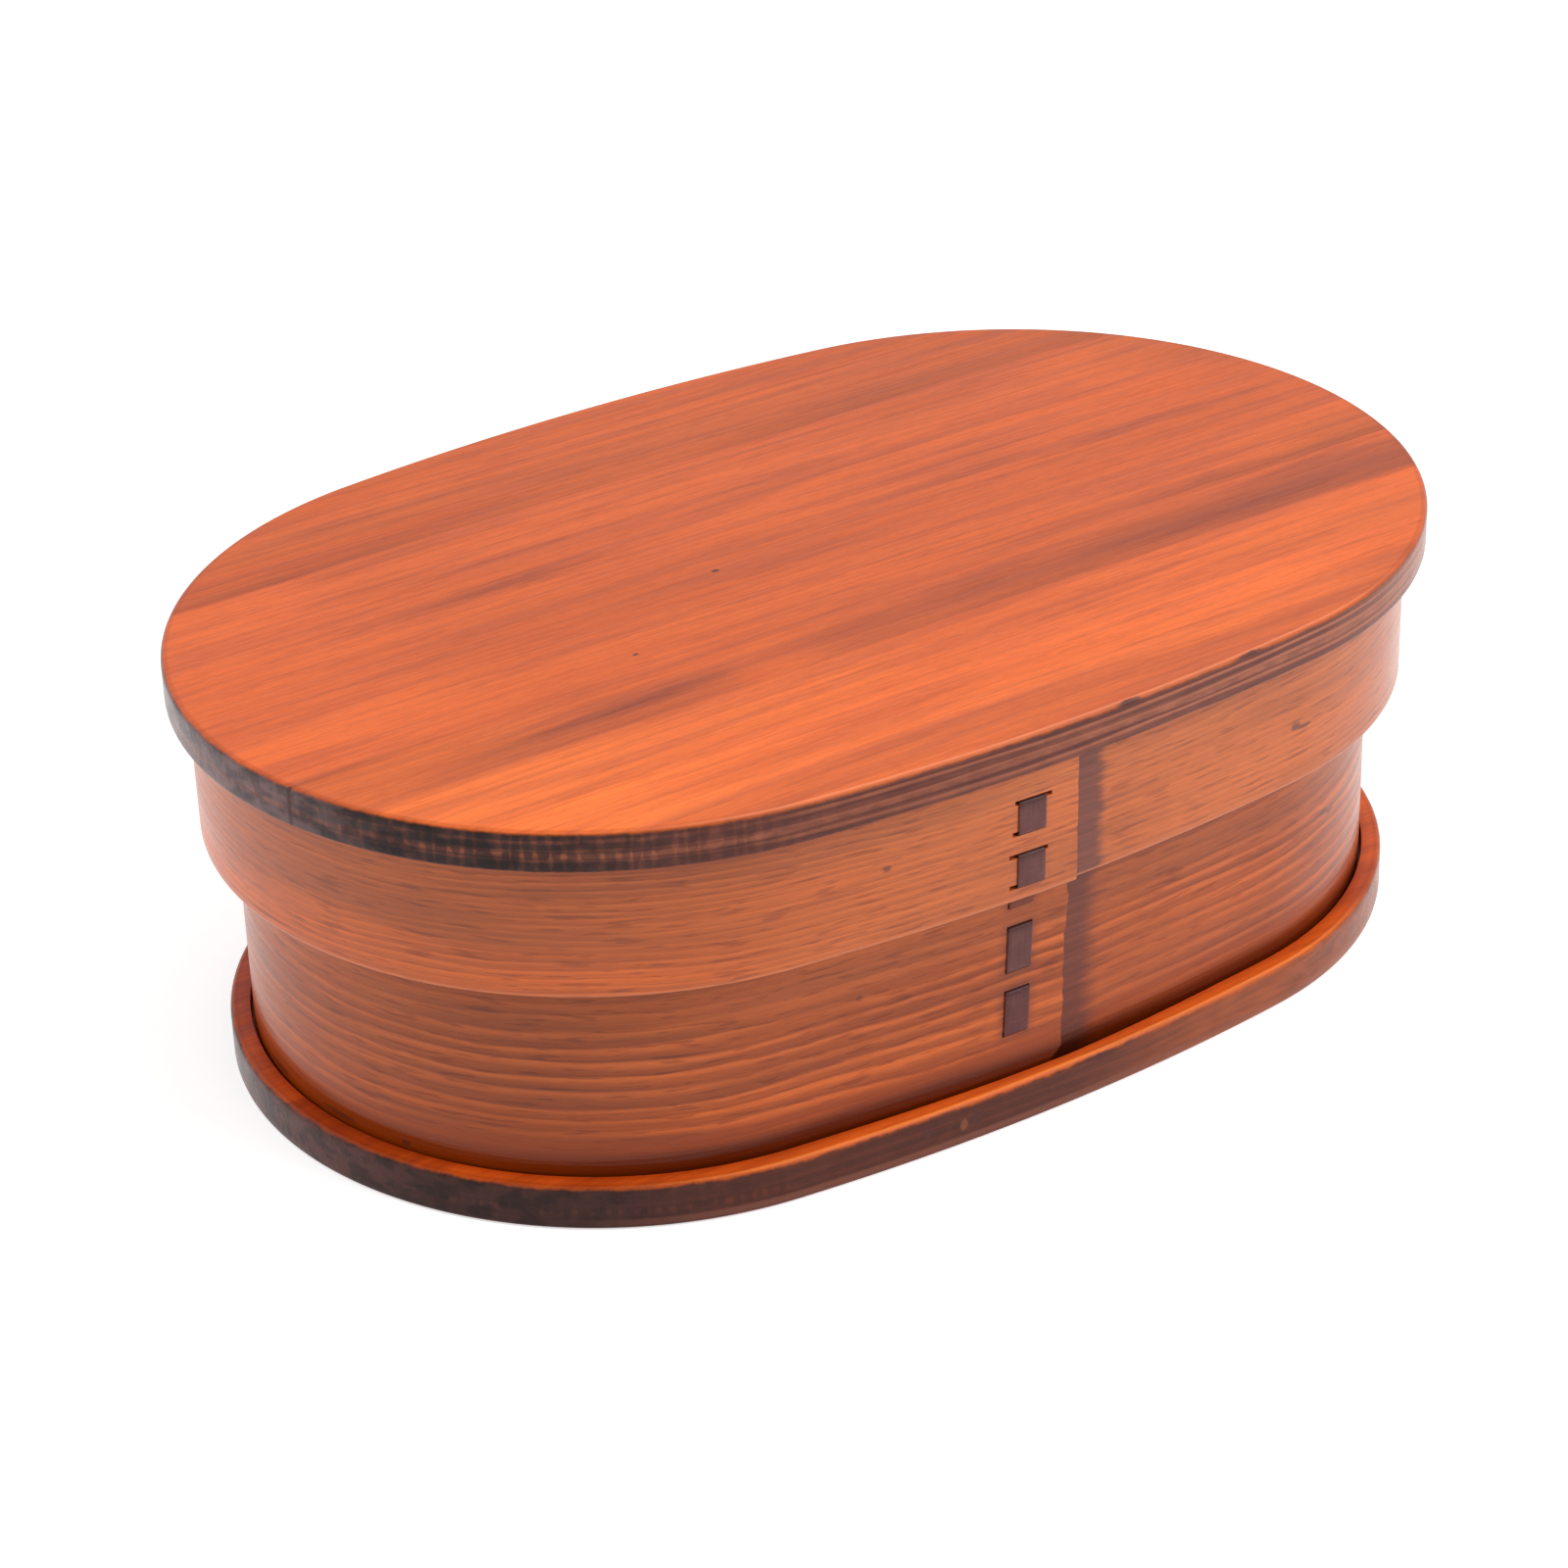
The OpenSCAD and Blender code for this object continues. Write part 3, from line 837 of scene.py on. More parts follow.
# %% The planed face of a board
LENS = (0.72, 0.70, 0.88)
FACE_SHADES = (
    ("Streak", 0.5, 0.45, (0.82, 0.78, 0.95)),
    ("Lines", 0.62, 0.42, (0.78, 0.70, 0.72)),
    ("Fibre", 0.5, 0.4, (0.80, 0.74, 0.76)),
)


def planed_face(n, xyz, moved, grain, kind, marks, lenses):
    """Colour of a planed face: three tones of the grain, then the listed patches and lenses."""
    mid, deep, bright = kind["face"]
    tone = n.scaled(grain["Streak"], 0.35, n.times(grain["Broad"], 0.65))
    colour = n.mix(n.step(tone, 0.15, 0.6), deep, mid)
    colour = n.mix(n.step(tone, 0.5, 0.95), colour, bright)
    for label, reach, share, shade in FACE_SHADES:
        colour = n.stain(n.fall(grain[label], 0.0, reach, share), colour, shade)
    fuzz = n.fall(n.noise(moved, (480, 1800, 1800), 2.0, 0.6), 0.35, 0.6, 0.2)
    colour = n.stain(fuzz, colour, (0.70, 0.66, 0.70))
    colour = n.stain(n.times(grain["Dashes"], 0.2), colour, (0.6, 0.5, 0.5))
    wavy = n.scaled(grain["Streak"], 0.0012, xyz["Y"])
    uneven = n.step(grain["Broad"], 0.0, 0.8, 1.0, 0.65)
    for span, reach, share, shade in marks:
        mask = n.times(patch(n, wavy, xyz["X"], span, reach), uneven, share)
        colour = n.stain(mask, colour, shade)
    for x, y, half_long, half_wide, share in lenses:
        size = half_long, half_wide
        mask = spot(n, xyz["X"], xyz["Y"], (x, y), size, grain["Fibre"], 0.8, (0.3, 1.9))
        colour = n.stain(n.times(mask, share), colour, LENS)
    return colour


# %% A board finish
def board_finish(name, shift, kind, marks, lenses, specks):
    """Stained board: grain colours on the faces, placed streaks, soaked edges and a dark joint."""
    material, n = new_finish(name)
    here = n.here()
    xyz = n.split(here)
    x, thick, crevice_shade_and_stain = xyz["X"], kind["thick"], kind["crevice_shade_and_stain"]
    moved = n.node("Mapping", {"Vector": here, "Location": shift})[0]
    grain = n.group(grain_group, Vector=moved, Wander=0.0022)
    below, end, uv = n.mark("below_top"), n.mark("end_grain"), n.along()
    patches = n.noise(uv, (260, 60, 1), 4.0, 0.7)
    colour = planed_face(n, xyz, moved, grain, kind, marks, lenses)

    groove = n.step(below, -0.0102, -0.0098)
    # Painted shade: on the base, the ledge darkens and deepens in colour towards the band standing
    # in its groove.
    inner = n.times(n.fall(below, -0.0022, -0.0006, crevice_shade_and_stain), groove)
    colour = n.stain(inner, colour, (0.84, 0.64, 0.30))
    # Painted shade: near the ends of the oval the top arris is darkened, as the rounded edge turns
    # from the light.
    turned = n.times(n.step(below, -0.0007, 0.0003), n.step(end, 0.15, 0.5, 0.0, 0.65))
    colour = n.stain(turned, colour, (0.62, 0.50, 0.40))
    # Painted highlight: a thin pale orange line along the eased top arris, where a lamp would catch
    # it, fading towards the ends of the oval.
    painted_arris_highlight = n.fall(n.off(below, 0.0003), 0.0001, 0.0003, 0.4)
    colour = n.mix(n.times(painted_arris_highlight, n.step(end, 0.1, 0.6, 1.0, 0.1)), colour, kind["painted_arris_highlight"])
    line = n.fall(n.off(below, 0.0009), 0.0001, 0.0004, 0.6)
    colour = n.mix(line, colour, (0.42, 0.10, 0.016))

    creep = n.scaled(n.less(patches, 0.5), kind["creep"], below)
    soaked = n.step(n.scaled(end, 0.0004, creep), 0.0007, 0.0013)
    under = n.scaled(patches, 0.001, below)
    soaked = n.times(soaked, n.step(under, thick + 0.0005, thick + 0.0012, 1.0, 0.5))
    rim, blots = sawn_edge(n, uv, end, x, n.calc("DIVIDE", below, thick), kind)
    wiped = n.step(x, 0.0, 0.035, 0.0, kind["glow"])
    wiped = n.times(wiped, n.step(blots, -0.2, 0.06, 0.5, 1.0))
    rubbed = n.mix(grain["Lines"], (0.30, 0.078, 0.032), (0.46, 0.112, 0.038))
    # Painted highlight: a faint pale line just above the base's lower arris, as if lit from the
    # floor, left out at the left end; the lid's glow of nought leaves it out there.
    foot = n.fall(n.off(below, thick - 0.0005), 0.0003, 0.0008, kind["glow"] * 0.55)
    foot = n.times(foot, n.step(x, -0.08, -0.05))
    rim = n.mix(foot, n.mix(wiped, rim, rubbed), (0.34, 0.118, 0.072))
    colour = n.mix(soaked, colour, rim)

    # Painted shade and stain: deep in the groove round the band the colour turns near black, where
    # little light reaches and stain has crept in; weaker at the left end, and only on the base.
    groove_shade_and_stain = n.fall(n.scaled(patches, 0.0006, below), -0.0024, -0.0018, crevice_shade_and_stain)
    groove_shade_and_stain = n.times(groove_shade_and_stain, n.step(x, -0.09, -0.05, 0.35, 1.0), groove)
    colour = n.mix(groove_shade_and_stain, colour, (0.07, 0.022, 0.014))
    for across, middle, size, shade in specks:
        second = below if across == "below" else xyz["Y"]
        colour = n.mix(spot(n, x, second, middle, size, patches), colour, shade)
    seam = n.off(xyz["Y"], kind["joint"])
    in_edge = n.step(below, 0.0, 0.0006)
    soft = n.times(n.fall(seam, 0.0002, 0.0016, 0.5), n.less(1.0, in_edge))
    sharp = n.less(in_edge, n.times(n.step(seam, 0.0002, 0.0005), in_edge))
    seam = n.times(n.most(soft, sharp), n.fall(x, -0.096, -0.070, kind["crack"]))
    colour = n.mix(seam, colour, (0.07, 0.020, 0.016))

    rough = n.scaled(soaked, -0.1, n.scaled(grain["Streak"], 0.06, 0.34))
    n.dress(colour, rough, n.scaled(grain["Dashes"], -0.6, grain["Lines"]), 0.12, 0.18)
    return material


# %% Colours of the boards, and the marks placed on them
# The arris colours are painted highlights, and the far colours are partly a painted sheen. Crevice
# sets the painted shade and stain by the base's band; glow sets the lighter right end of the base's
# edge and the painted highlight on its lower arris.
lid_kind = {
    "face": [(0.70, 0.127, 0.026), (0.63, 0.113, 0.024), (0.78, 0.146, 0.029)],
    "rim": [(0.15, 0.047, 0.036), (0.52, 0.170, 0.092),
            (0.038, 0.018, 0.017), (0.46, 0.130, 0.066)],
    "soak": (0.42, 0.86), "far": (0.165, 0.100, 0.104), "vein": 0.68, "rings": 0.78,
    "painted_arris_highlight": (0.95, 0.36, 0.20), "joint": LID_JOINT * MM, "thick": LID_T * MM,
    "creep": 0.0008, "crevice_shade_and_stain": 0.0, "glow": 0.0, "crack": 0.7,
}
base_kind = {
    "face": [(0.74, 0.118, 0.012), (0.60, 0.090, 0.010), (0.84, 0.14, 0.014)],
    "rim": [(0.118, 0.033, 0.022), (0.20, 0.054, 0.030),
            (0.060, 0.019, 0.015), (0.105, 0.034, 0.024)],
    "soak": (0.4, 0.75), "far": (0.108, 0.036, 0.030), "vein": 0.15, "rings": 0.6,
    "painted_arris_highlight": (1.0, 0.40, 0.09), "joint": BASE_JOINT * MM, "thick": BASE_T * MM,
    "creep": 0.0013, "crevice_shade_and_stain": 0.9, "glow": 0.85, "crack": 0.2,
}
PURPLE, SUNNY, RUST = (0.66, 0.68, 0.95), (1.13, 1.15, 1.20), (0.80, 0.74, 0.8)
DUSKY = (0.77, 0.81, 0.83)
FROM_LEFT, TO_RIGHT = (-300, -290), (290, 300)
ALL_ALONG = (*FROM_LEFT, *TO_RIGHT)
# Each mark, in mm: low, high and their blurs across; start, full, fade, stop along; share; shade.
front_marks = [
    ((-30, -23.2, 0.5, 1.6), (-92, -58, -36, -26), 0.8, PURPLE),
    ((-26.2, -24.2, 0.8, 0.8), (-90, -55, -42, -30), 0.6, PURPLE),
    ((-30, -20.5, 0.5, 2.5), (-26, -10, *TO_RIGHT), 0.9, PURPLE),
    ((-30, -26.8, 0.5, 1.5), (-24, -12, 30, 60), 0.5, PURPLE),
    ((-27, -20.5, 1.2, 1.4), (20, 45, *TO_RIGHT), 0.75, PURPLE),
    ((-46.5, -30.6, 2.5, 0.5), (*FROM_LEFT, -10, 50), 1.0, SUNNY),
    ((-50, -30.6, 2.5, 0.5), (0, 50, *TO_RIGHT), 0.9, (1.24, 1.29, 1.30)),
    ((-90, -51.5, 1, 3), ALL_ALONG, 1.0, (1.05, 1.12, 1.20)),
    ((-56, -43.5, 1.5, 1.5), (*FROM_LEFT, 45, 75), 1.0, (1.32, 1.37, 1.25)),
    ((-40, -30.6, 2, 0.5), (*FROM_LEFT, -20, 0), 1.0, (1.12, 1.20, 1.15)),
    ((-56, -18, 1, 2), (*FROM_LEFT, -70, -45), 1.0, (1.14, 1.24, 1.15)),
    ((-43, -37, 1, 1), (40, 60, *TO_RIGHT), 1.0, (0.84, 0.87, 0.90)),
]
rear_marks = [
    ((39.2, 40, 0.3, 0.4), (-100, -80, 30, 60), 0.8, RUST),
    ((47.7, 48.6, 0.4, 0.4), (-80, -60, *TO_RIGHT), 0.7, RUST),
    ((39.6, 90, 0.4, 1), ALL_ALONG, 1.0, (0.76, 0.77, 0.68)),
    ((-30, -7, 1, 1), (72, 90, *TO_RIGHT), 0.95, DUSKY),
    ((23, 90, 2, 1), (72, 90, *TO_RIGHT), 0.8, DUSKY),
    ((-18.5, -13.5, 1, 1.5), (52, 68, *TO_RIGHT), 1.0, (0.79, 0.82, 0.90)),
    ((-18.5, -13.5, 1, 1), (-50, -35, -15, 0), 1.0, (1.18, 1.20, 1.10)),
    ((53.5, 90, 1.5, 1), ALL_ALONG, 1.0, (1.22, 1.18, 1.10)),
    ((41, 47, 1, 1), (*FROM_LEFT, -40, -20), 1.0, (1.15, 1.04, 1.0)),
    ((28.5, 35, 2, 2), (18, 30, 66, 80), 1.0, (0.89, 0.91, 0.92)),
    ((10, 30, 3, 3), (35, 60, 80, 95), 1.0, (1.13, 1.12, 1.0)),
    ((-30, 39, 1, 1), (*FROM_LEFT, -80, -50), 0.9, (1.25, 1.27, 1.25)),
]
# Painted shade: the base's ledge is darkened towards its left end, away from the light.
base_left_end_shade = [((-300, 300, 10, 10), (*FROM_LEFT, -78, -50), 0.9, (0.72, 0.62, 0.52))]
# Each lens, in mm: middle along and across, half length, half width; share.
front_lenses = [
    (-49, -25.2, 19, 1.2, 0.7), (59, -27.5, 22, 1.6, 0.6), (8, -23, 26, 2.0, 0.35),
    (17, -39.2, 13, 1.0, 0.5), (48, -41.5, 26, 1.1, 0.4), (30, -36, 36, 1.3, 0.35),
    (-50, -40, 16, 0.8, 0.2), (-8, -56, 40, 2.4, 0.2), (-30, -35, 40, 0.3, 0.3),
    (40, -46.5, 40, 0.35, 0.4), (-20, -48, 45, 0.3, 0.3), (10, -53, 50, 0.35, 0.4),
]
rear_lenses = [
    (-45, 18, 27, 2.4, 0.75), (-41, 17.6, 10, 1.2, 0.5), (-69, 10.5, 13, 1.5, 0.55),
    (-44, 26.5, 18, 1.5, 0.35), (17, 25.5, 13, 1.6, 0.6), (53, 34, 18, 2.2, 0.45),
    (58, 17, 42, 1.8, 0.15), (30, 8.8, 22, 1.3, 0.6), (72, 7, 22, 1.8, 0.5),
    (45, 4, 14, 0.9, 0.5), (-3, -1.2, 13, 0.7, 0.5), (33, -11, 12, 0.5, 0.6),
    (74, -16.5, 27, 1.2, 0.7), (-66, 3, 16, 1.3, 0.5), (-30, -6, 26, 0.9, 0.3),
    (0, 44, 75, 0.35, 0.5), (-15, 51, 60, 0.4, 0.5), (15, 54.5, 55, 0.4, 0.5),
    (5, 58, 45, 0.4, 0.4), (-45, 31, 50, 0.35, 0.4), (35, 22, 60, 0.3, 0.4),
    (30, 13.5, 55, 0.35, 0.5), (-20, -9, 70, 0.3, 0.35), (40, -14, 50, 0.3, 0.4),
    (-50, 14, 40, 0.3, 0.35), (10, 36, 60, 0.35, 0.4), (60, 29, 35, 0.35, 0.45),
]
# Each speck: what counts across; middle and half sizes, in mm; shade.
SOOT, KNOT = (0.10, 0.030, 0.024), (0.24, 0.075, 0.036)
rear_specks = [("y", (-15, 3), (0.7, 0.5), SOOT), ("y", (-39, -13), (0.6, 0.4), SOOT)]
front_specks = [("below", (8.5, 0.8), (2.6, 0.6), SOOT), ("below", (31, 0.8), (3.4, 0.4), SOOT)]
base_specks = [
    ("below", (7.5, 1.4), (4.0, 0.7), SOOT), ("below", (-14.5, 3.6), (1.0, 1.6), SOOT),
    ("below", (-16.8, 4.0), (0.8, 1.1), KNOT), ("below", (-22.8, 3.4), (0.8, 2.2), SOOT),
]
print("marks:", len(front_marks) + len(rear_marks), "lenses:", len(front_lenses) + len(rear_lenses))

# %% Finish the boards
for piece, label, shift, kind, marks, lenses, specks in (
    (lid_front, "lid_front_stain", (0, 0, 0), lid_kind, front_marks, front_lenses, front_specks),
    (lid_rear, "lid_rear_stain", (0.31, 0.07, 0), lid_kind, rear_marks, rear_lenses, rear_specks),
    (base_front, "base_front_stain", (0.62, 0.15, 0), base_kind, base_left_end_shade, [], base_specks),
    (base_rear, "base_rear_stain", (0.93, 0.24, 0), base_kind, base_left_end_shade, [], []),
):
    piece.data.materials.append(board_finish(label, shift, kind, marks, lenses, specks))
    print(piece.name, "wears", label)

# %% [markdown]
# ## Band finish
# The bands are split along the grain, so rings and fibres run round the box as level stripes.
# Where the lap was glued, dark stain soaked into the wood just beyond its end and left a ragged
# smear that follows the fibres, and a weaker cloud round the stitches. A thin paler line runs
# along the free rim. The foot is darkened, partly by lacquer gathered there and partly by painted
# shade where the wall meets the ledge, and above it a painted reflection of the orange ledge runs
# up the body's wall. Painted light lifts each wall just under what overhangs it, and painted shade
# darkens the left end. The stripes read the UV map, whose first number is the place along the
# strip and whose second is the height.

# %% A cloud of stain round a row of stitches
def stitch_place(lap_at, grow, feet, float_l, width):
    """A row of stitches on the UV map: middle, foot, float, count and half width, in metres."""
    middle = lap_at * SIDE_R / (SIDE_R + grow) + ROUND - STITCH_IN
    return middle * MM, feet[0] * MM, float_l * MM, len(feet), width / 2 * MM


def stitch_cloud(n, u, v, middle, foot, float_l, count, half):
    """A mask round each float: the height is folded by the pitch, so one box serves the row."""
    pitch = float_l + FLOAT_GAP * MM
    low = foot - FLOAT_GAP * MM / 2
    high = low + count * pitch
    off = n.off(n.calc("MODULO", n.less(v, low), pitch), pitch / 2)
    wide = n.fall(n.off(u, middle), half - 0.0002, half + 0.0018)
    tall = n.fall(off, float_l / 2, float_l / 2 + 0.0013)
    in_row = n.times(n.step(v, low - 0.001, low), n.fall(v, high, high + 0.001))
    return n.times(wide, tall, in_row)


# %% A band finish
STRIP_SHADES = (("Lines", 0.45, (0.80, 0.76, 0.78)), ("Fibre", 0.35, (0.80, 0.74, 0.74)))


def split_face(n, x, at, moved, grain, ring, kind):
    """Colour of a split strip: tones, rings and pores along it, then painted light, shade and
    reflection over its height and towards its left end.
    """
    deep, mid, bright = kind["tones"]
    stripes, calm_from, foot_z = kind["stripes"], kind["calm_from"], kind["foot"]
    strength = n.step(n.noise(moved, (22, 130, 1), 3.0, 0.6), 0.3, 0.64, 0.15, 1.0)
    calm = n.step(at["Y"], calm_from, calm_from + 0.005, stripes, 0.45 * stripes)
    strength = n.times(strength, n.step(at["X"], 0.06, 0.13, 0.85, 1.0), calm)
    tone = n.scaled(grain["Streak"], 0.4, n.times(grain["Broad"], 0.6))
    colour = n.mix(n.step(tone, 0.15, 0.85), deep, mid)
    colour = n.mix(n.times(ring["Light"], strength), colour, bright)
    colour = n.stain(n.times(ring["Dark"], strength), colour, (0.80, 0.77, 0.83))
    for label, share, shade in STRIP_SHADES:
        colour = n.stain(n.fall(grain[label], 0.03, 0.5, share), colour, shade)
    pores = n.step(n.noise(moved, (150, 1500, 1)), 0.55, 0.66, 0.0, 0.75)
    colour = n.stain(pores, colour, (0.60, 0.52, 0.52))
    # Painted light: the top of each wall, under what overhangs it, is lightened and turned bluer to
    # lift the shadow there; half as much at the left end.
    low, full, shade = kind["high"]
    upper = n.times(n.step(at["Y"], low, full), n.step(x, -0.055, -0.03, 0.5, 1.0))
    colour = n.stain(upper, colour, shade)
    low, full, edge, shade = kind["lower"]
    sunk = n.times(n.fall(at["Y"], low, full), n.fall(x, edge - 0.015, edge + 0.015))
    colour = n.stain(sunk, colour, shade)
    # Painted shade: each wall darkens towards its left end, away from the light; on the lid this
    # also turns it more golden.
    full, fade, shade = kind["left"]
    colour = n.stain(n.fall(x, full, fade), colour, shade)
    # Painted reflection and shade: the body's wall turns a dark orange-brown from about 2 to 8 mm
    # above the base, as the lacquer would mirror the orange ledge and the corner take less light;
    # the lid's band has no such foot.
    glow = n.fall(at["Y"], foot_z + 0.0020, foot_z + 0.0078, 0.92)
    return n.mix(glow, colour, (0.35, 0.050, 0.0))


def band_finish(name, kind):
    """Stained strip: rings and fibres, a smear after the lap, a paler rim and a dark foot."""
    material, n = new_finish(name)
    uv = n.along()
    at, x = n.split(uv), n.split(n.here())["X"]
    moved = n.node("Mapping", {"Vector": uv, "Location": kind["shift"]})[0]
    grain = n.group(grain_group, Vector=moved, Wander=0.003)
    ring = n.group(ring_group, Vector=moved, Pitch=kind["pitch"], Wander=0.007)
    colour = split_face(n, x, at, moved, grain, ring, kind)

    reach, blur = kind["smear"]
    teeth = n.noise(uv, (60, 700, 1), 4.0, 0.7)
    past = n.less(at["X"], kind["lap"])
    far = n.scaled(n.less(teeth, 0.5), -0.006, past)
    stain = n.fall(far, reach * (1 - blur), reach * (1 + blur), 0.92)
    wisps = n.times(n.fall(past, reach * 0.8, reach * 2.4, 0.6), n.step(teeth, 0.5, 0.66))
    cloud = n.step(teeth, 0.3, 0.65, 0.4 * kind["cloud"], kind["cloud"])
    halo = n.times(stitch_cloud(n, at["X"], at["Y"], *kind["stitch"]), cloud)
    stain = n.times(n.most(n.most(stain, wisps), halo), n.fall(at["Y"], 0.09, 0.1))
    for middle, size in kind["flecks"]:
        stain = n.most(stain, n.times(spot(n, at["X"], at["Y"], middle, size, teeth), 0.8))
    smudge = n.mix(grain["Lines"], (0.13, 0.033, 0.022), (0.20, 0.053, 0.034))
    smudge = n.stain(n.fall(at["Y"], 0.010, 0.032), smudge, (0.84, 0.62, 0.48))
    colour = n.mix(stain, colour, smudge)

    rim = n.fall(n.off(at["Y"], kind["rim"]), 0.0003, 0.0009, 0.45)
    colour = n.mix(rim, colour, (0.82, 0.26, 0.11))
    # Partly gathered lacquer, partly painted shade: a ragged dark line along the foot, where the
    # wall meets the ledge; weaker at the left end.
    deeper = n.less(at["Y"], n.fall(x, -0.02, 0.01, 0.0008))
    foot_z = kind["foot"]
    foot_lacquer_and_shade = n.fall(n.scaled(teeth, -0.001, deeper), foot_z + 0.0003, foot_z + 0.0036)
    foot_lacquer_and_shade = n.times(foot_lacquer_and_shade, n.step(x, -0.09, -0.05, 0.4, 1.0))
    colour = n.stain(foot_lacquer_and_shade, colour, (0.30, 0.24, 0.14))
    height = n.scaled(ring["Light"], 0.2, grain["Lines"])
    n.dress(colour, n.scaled(grain["Streak"], 0.08, 0.22), height, 0.1, kind["shine"])
    return material


# %% Finish the bands
NO_FOOT, NO_CALM = -0.1, 0.5
# In each strip, high lightens the top of the wall as painted light, left darkens its left end as
# painted shade, and foot places the painted reflection and shade at the foot; rim is the paler line
# along the free rim.
lid_strip = {
    "tones": [(0.46, 0.106, 0.026), (0.64, 0.150, 0.036), (0.80, 0.196, 0.048)],
    "lap": LID_LAP * MM, "rim": LID_FOOT * MM, "foot": NO_FOOT, "calm_from": NO_CALM,
    "pitch": 0.0011, "stripes": 0.55, "smear": (0.0045, 0.22), "cloud": 0.12,
    "high": (0.051, 0.058, (1.06, 1.15, 1.24)),
    "lower": (0.043, 0.049, -0.055, (1.24, 1.15, 1.0)),
    "left": (-0.06, 0.0, (0.95, 0.85, 0.64)),
    "stitch": stitch_place(LID_LAP, LID_GROW, lid_feet, LID_FLOAT, LID_BARK),
    "flecks": [((43.4, 48.4), (1.3, 0.9)), ((45, 47.8), (1.7, 0.4)), ((466, 50.5), (1, 0.6))],
    "shift": (0, 0, 0), "shine": 0.42,
}
body_strip = {
    "tones": [(0.33, 0.066, 0.016), (0.46, 0.094, 0.020), (0.72, 0.156, 0.032)],
    "lap": BODY_LAP * MM, "rim": RIM_Z * MM, "foot": BASE_T * MM, "calm_from": 0.027,
    "pitch": 0.0024, "stripes": 0.95, "smear": (0.0052, 0.45), "cloud": 0.6,
    "high": (0.025, 0.034, (1.22, 1.40, 1.75)),
    "lower": (0.013, 0.022, -0.01, (1.03, 0.96, 0.74)),
    "left": (-0.08, -0.05, (0.87, 0.87, 0.84)),
    "stitch": stitch_place(BODY_LAP, 0, body_feet, BODY_FLOAT, BODY_BARK),
    "flecks": [
        ((58.2, 25.6), (1.6, 0.6)), ((60.2, 24.9), (2.0, 0.7)), ((464, 27.8), (0.8, 0.6)),
        *(((ROUND - back, 7.6), (size, 0.6)) for back, size in ((129, 4), (113, 5), (100, 1))),
    ],
    "shift": (0.7, 0.31, 0), "shine": 0.3,
}
lid_wall.data.materials.append(band_finish("lid_band_stain", lid_strip))
body_wall.data.materials.append(band_finish("body_band_stain", body_strip))
print("bands:", [piece.data.materials[0].name for piece in (lid_wall, body_wall)])

# %% [markdown]
# ## Bark and divider
# Cherry bark is a smooth, greyish purple-brown skin with faint lines along the strip and short
# pale breathing marks across it. Painted shade darkens it where it dips into a slit. The divider
# is a plain stained board, a little lighter than the outside.

# %% Finish the bark and the divider
RUBBED_Z = 0.0356


def bark_finish(name):
    """Bark: slow tones, fine lines along the strip, short cross marks and painted shade at the
    tucked ends.
    """
    material, n = new_finish(name)
    uv = n.along()
    lines = n.noise(uv, (3200, 120, 1))
    cross = n.step(n.noise(uv, (420, 1900, 1), 1.0), 0.6, 0.72)
    tone = n.scaled(lines, 0.5, n.times(n.noise(uv, (300, 160, 1)), 0.6))
    colour = n.mix(n.step(tone, 0.35, 0.75), (0.115, 0.042, 0.040), (0.170, 0.066, 0.062))
    colour = n.mix(n.times(cross, 0.2), colour, (0.23, 0.11, 0.095))
    z = n.split(n.here())["Z"]
    colour = n.stain(n.fall(z, 0.016, 0.025), colour, (0.87, 0.76, 0.79))
    rubbed = n.fall(n.off(z, RUBBED_Z), 0.001, 0.0022, 0.75)
    colour = n.mix(rubbed, colour, (0.27, 0.074, 0.036))
    # Painted shade: the bark darkens where it bends into a slit, as the slit's edge would shade it.
    colour = n.stain(n.times(n.mark("tucked"), 0.8), colour, (0.3, 0.25, 0.25))
    rough = n.step(lines, 0.3, 0.7, 0.36, 0.48)
    n.dress(colour, rough, n.scaled(cross, 0.8, lines), 0.15, 0.2)
    return material


def divider_finish(name):
    """Plain stained board with its grain across the box."""
    material, n = new_finish(name)
    turned = n.node("Mapping", {"Vector": n.here(), "Rotation": (0, 0, math.pi / 2)})[0]
    swung = n.split(turned)
    plane = n.node("CombineXYZ", {"X": swung["X"], "Y": swung["Z"], "Z": swung["Y"]})[0]
    grain = n.group(grain_group, Vector=plane, Wander=0.003)
    tone = n.scaled(grain["Streak"], 0.45, n.times(grain["Broad"], 0.35))
    tone = n.scaled(grain["Fibre"], 0.2, tone)
    colour = n.mix(n.step(tone, 0.2, 0.8), (0.50, 0.115, 0.036), (0.70, 0.17, 0.048))
    colour = n.mix(n.times(grain["Dashes"], 0.3), colour, (0.2, 0.04, 0.02))
    n.dress(colour, n.scaled(grain["Streak"], 0.1, 0.34), grain["Fibre"], 0.12, 0.5)
    return material


bark = bark_finish("cherry_bark")
body_bark.data.materials.append(bark)
lid_bark.data.materials.append(bark)
divider_board.data.materials.append(divider_finish("divider_stain"))
print("bark and divider finished")

# %% [markdown]
# ## The camera
# The view comes from matching the oval of the lid, the feet of the bands and the base: a long
# lens, rather high, from the front left, with a slight tilt of the frame. The three axes are
# written out and become the columns of the camera's matrix.

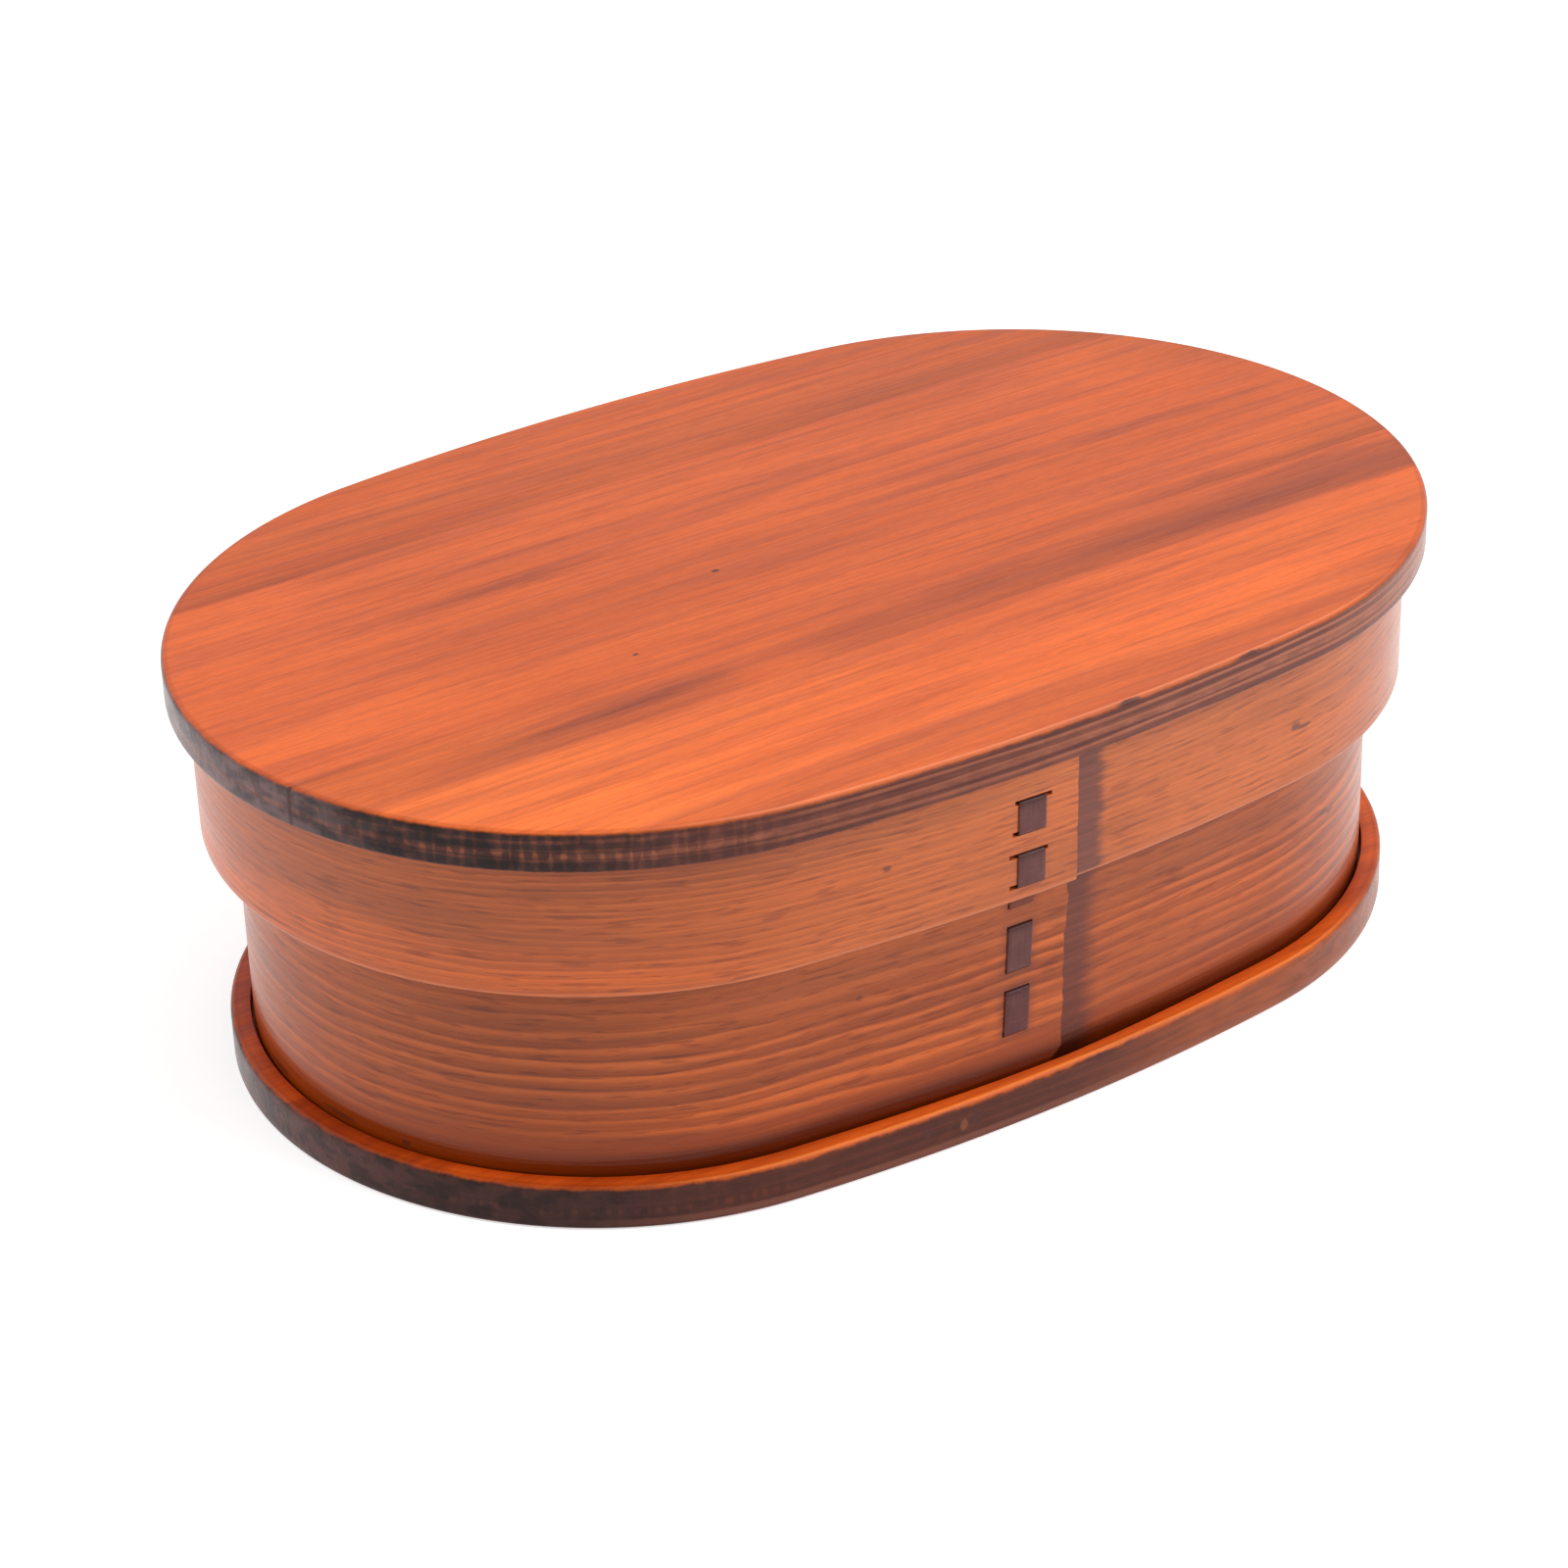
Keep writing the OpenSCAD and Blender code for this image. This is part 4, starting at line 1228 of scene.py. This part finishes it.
# %% Place the camera
AIM = np.array([-12.27, -9.62, 35.0])
AZIMUTH, ELEVATION, ROLL = np.radians([-33.15, 28.73, -1.78])
DISTANCE, FOCAL_PX, FRAME_PX = 631.0, 4307.8, 1600
SENSOR = 36
level_back = np.array([math.sin(AZIMUTH), -math.cos(AZIMUTH), 0])
back = level_back * math.cos(ELEVATION) + np.array([0, 0, math.sin(ELEVATION)])
level_right = np.array([math.cos(AZIMUTH), math.sin(AZIMUTH), 0])
level_up = np.cross(back, level_right)
right = math.cos(ROLL) * level_right + math.sin(ROLL) * level_up
up = -math.sin(ROLL) * level_right + math.cos(ROLL) * level_up
eye = (AIM + back * DISTANCE) * MM
camera = bpy.data.objects.new("camera", bpy.data.cameras.new("camera"))
camera.data.sensor_width = SENSOR
camera.data.lens = SENSOR * FOCAL_PX / FRAME_PX
camera.data.clip_start = 0.01
axes = [[right[i], up[i], back[i], eye[i]] for i in range(3)]
camera.matrix_world = Matrix(axes + [[0, 0, 0, 1]])
bpy.context.scene.collection.objects.link(camera)
bpy.context.scene.camera = camera
print("lens:", round(camera.data.lens, 1), "mm")

# %% [markdown]
# ## Floor and light
# A white sweep, an even pale room and three wide soft lamps: one overhead, one at the front right
# that lights the walls, and one behind the left end that lifts its outline. They round the walls
# and leave a soft shadow. The lamp behind is kept out of the lacquer's reflections, where it would
# glare on the lid.

# %% Build the studio
FLOOR_HALF, FLOOR_Z = 6, -0.0002
PAPER_GLOW, ROOM_LIGHT, ROOM_SEEN = 0.6, 0.35, 0.65
BOX_MIDDLE = Vector((0, 0, 0.03))


def seen_directly(n):
    """1 on rays from the camera, a mirror or through glass, and 0 on rays that only carry light."""
    ray = n.node("LightPath")
    return n.most(ray["Is Camera Ray"], n.most(ray["Is Glossy Ray"], ray["Is Transmission Ray"]))


floor_mesh = bpy.data.meshes.new("floor")
sides = ((-1, -1), (1, -1), (1, 1), (-1, 1))
floor_corners = [(x * FLOOR_HALF, y * FLOOR_HALF, FLOOR_Z) for x, y in sides]
floor_mesh.from_pydata(floor_corners, [], [(0, 1, 2, 3)])
floor = bpy.data.objects.new("floor", floor_mesh)
bpy.context.scene.collection.objects.link(floor)
paper, n = new_finish("white_paper")
surface = n.tree.nodes["Principled BSDF"]
surface.inputs["Base Color"].default_value = (0.7, 0.7, 0.7, 1)
surface.inputs["Roughness"].default_value = 0.9
surface.inputs["Specular IOR Level"].default_value = 0.0
strength = n.times(seen_directly(n), PAPER_GLOW)
glow = n.node("Emission", {"Color": (1, 1, 1), "Strength": strength})[0]
both = n.node("AddShader", {0: surface.outputs[0], 1: glow})[0]
n.tree.links.new(both, n.tree.nodes["Material Output"].inputs["Surface"])
floor_mesh.materials.append(paper)

world = bpy.data.worlds.new("pale_room")
bpy.context.scene.world = world
world.use_nodes = True
n = Recipe(world.node_tree)
background = world.node_tree.nodes["Background"].inputs
background["Color"].default_value = (1, 1, 1, 1)
room = n.scaled(seen_directly(n), ROOM_SEEN, ROOM_LIGHT)
world.node_tree.links.new(room, background["Strength"])


def soft_lamp(name, place, size, power, in_lacquer=True):
    """A square lamp at a place in metres that faces the middle of the box."""
    lamp = bpy.data.objects.new(name, bpy.data.lights.new(name, "AREA"))
    lamp.data.size, lamp.data.energy = size, power
    place = Vector(place)
    facing = (BOX_MIDDLE - place).to_track_quat("-Z", "Y").to_matrix().to_4x4()
    lamp.matrix_world = Matrix.Translation(place) @ facing
    lamp.visible_glossy = in_lacquer
    bpy.context.scene.collection.objects.link(lamp)
    print(name, power, "W")


soft_lamp("overhead", (0.1, -0.2, 1.0), 0.9, 3.6)
soft_lamp("front_right", (0.6, -0.85, 0.75), 0.7, 9.0)
soft_lamp("left_rim", (-0.75, 0.55, 0.4), 0.5, 4.5, in_lacquer=False)
bpy.context.scene.view_settings.view_transform = "Standard"
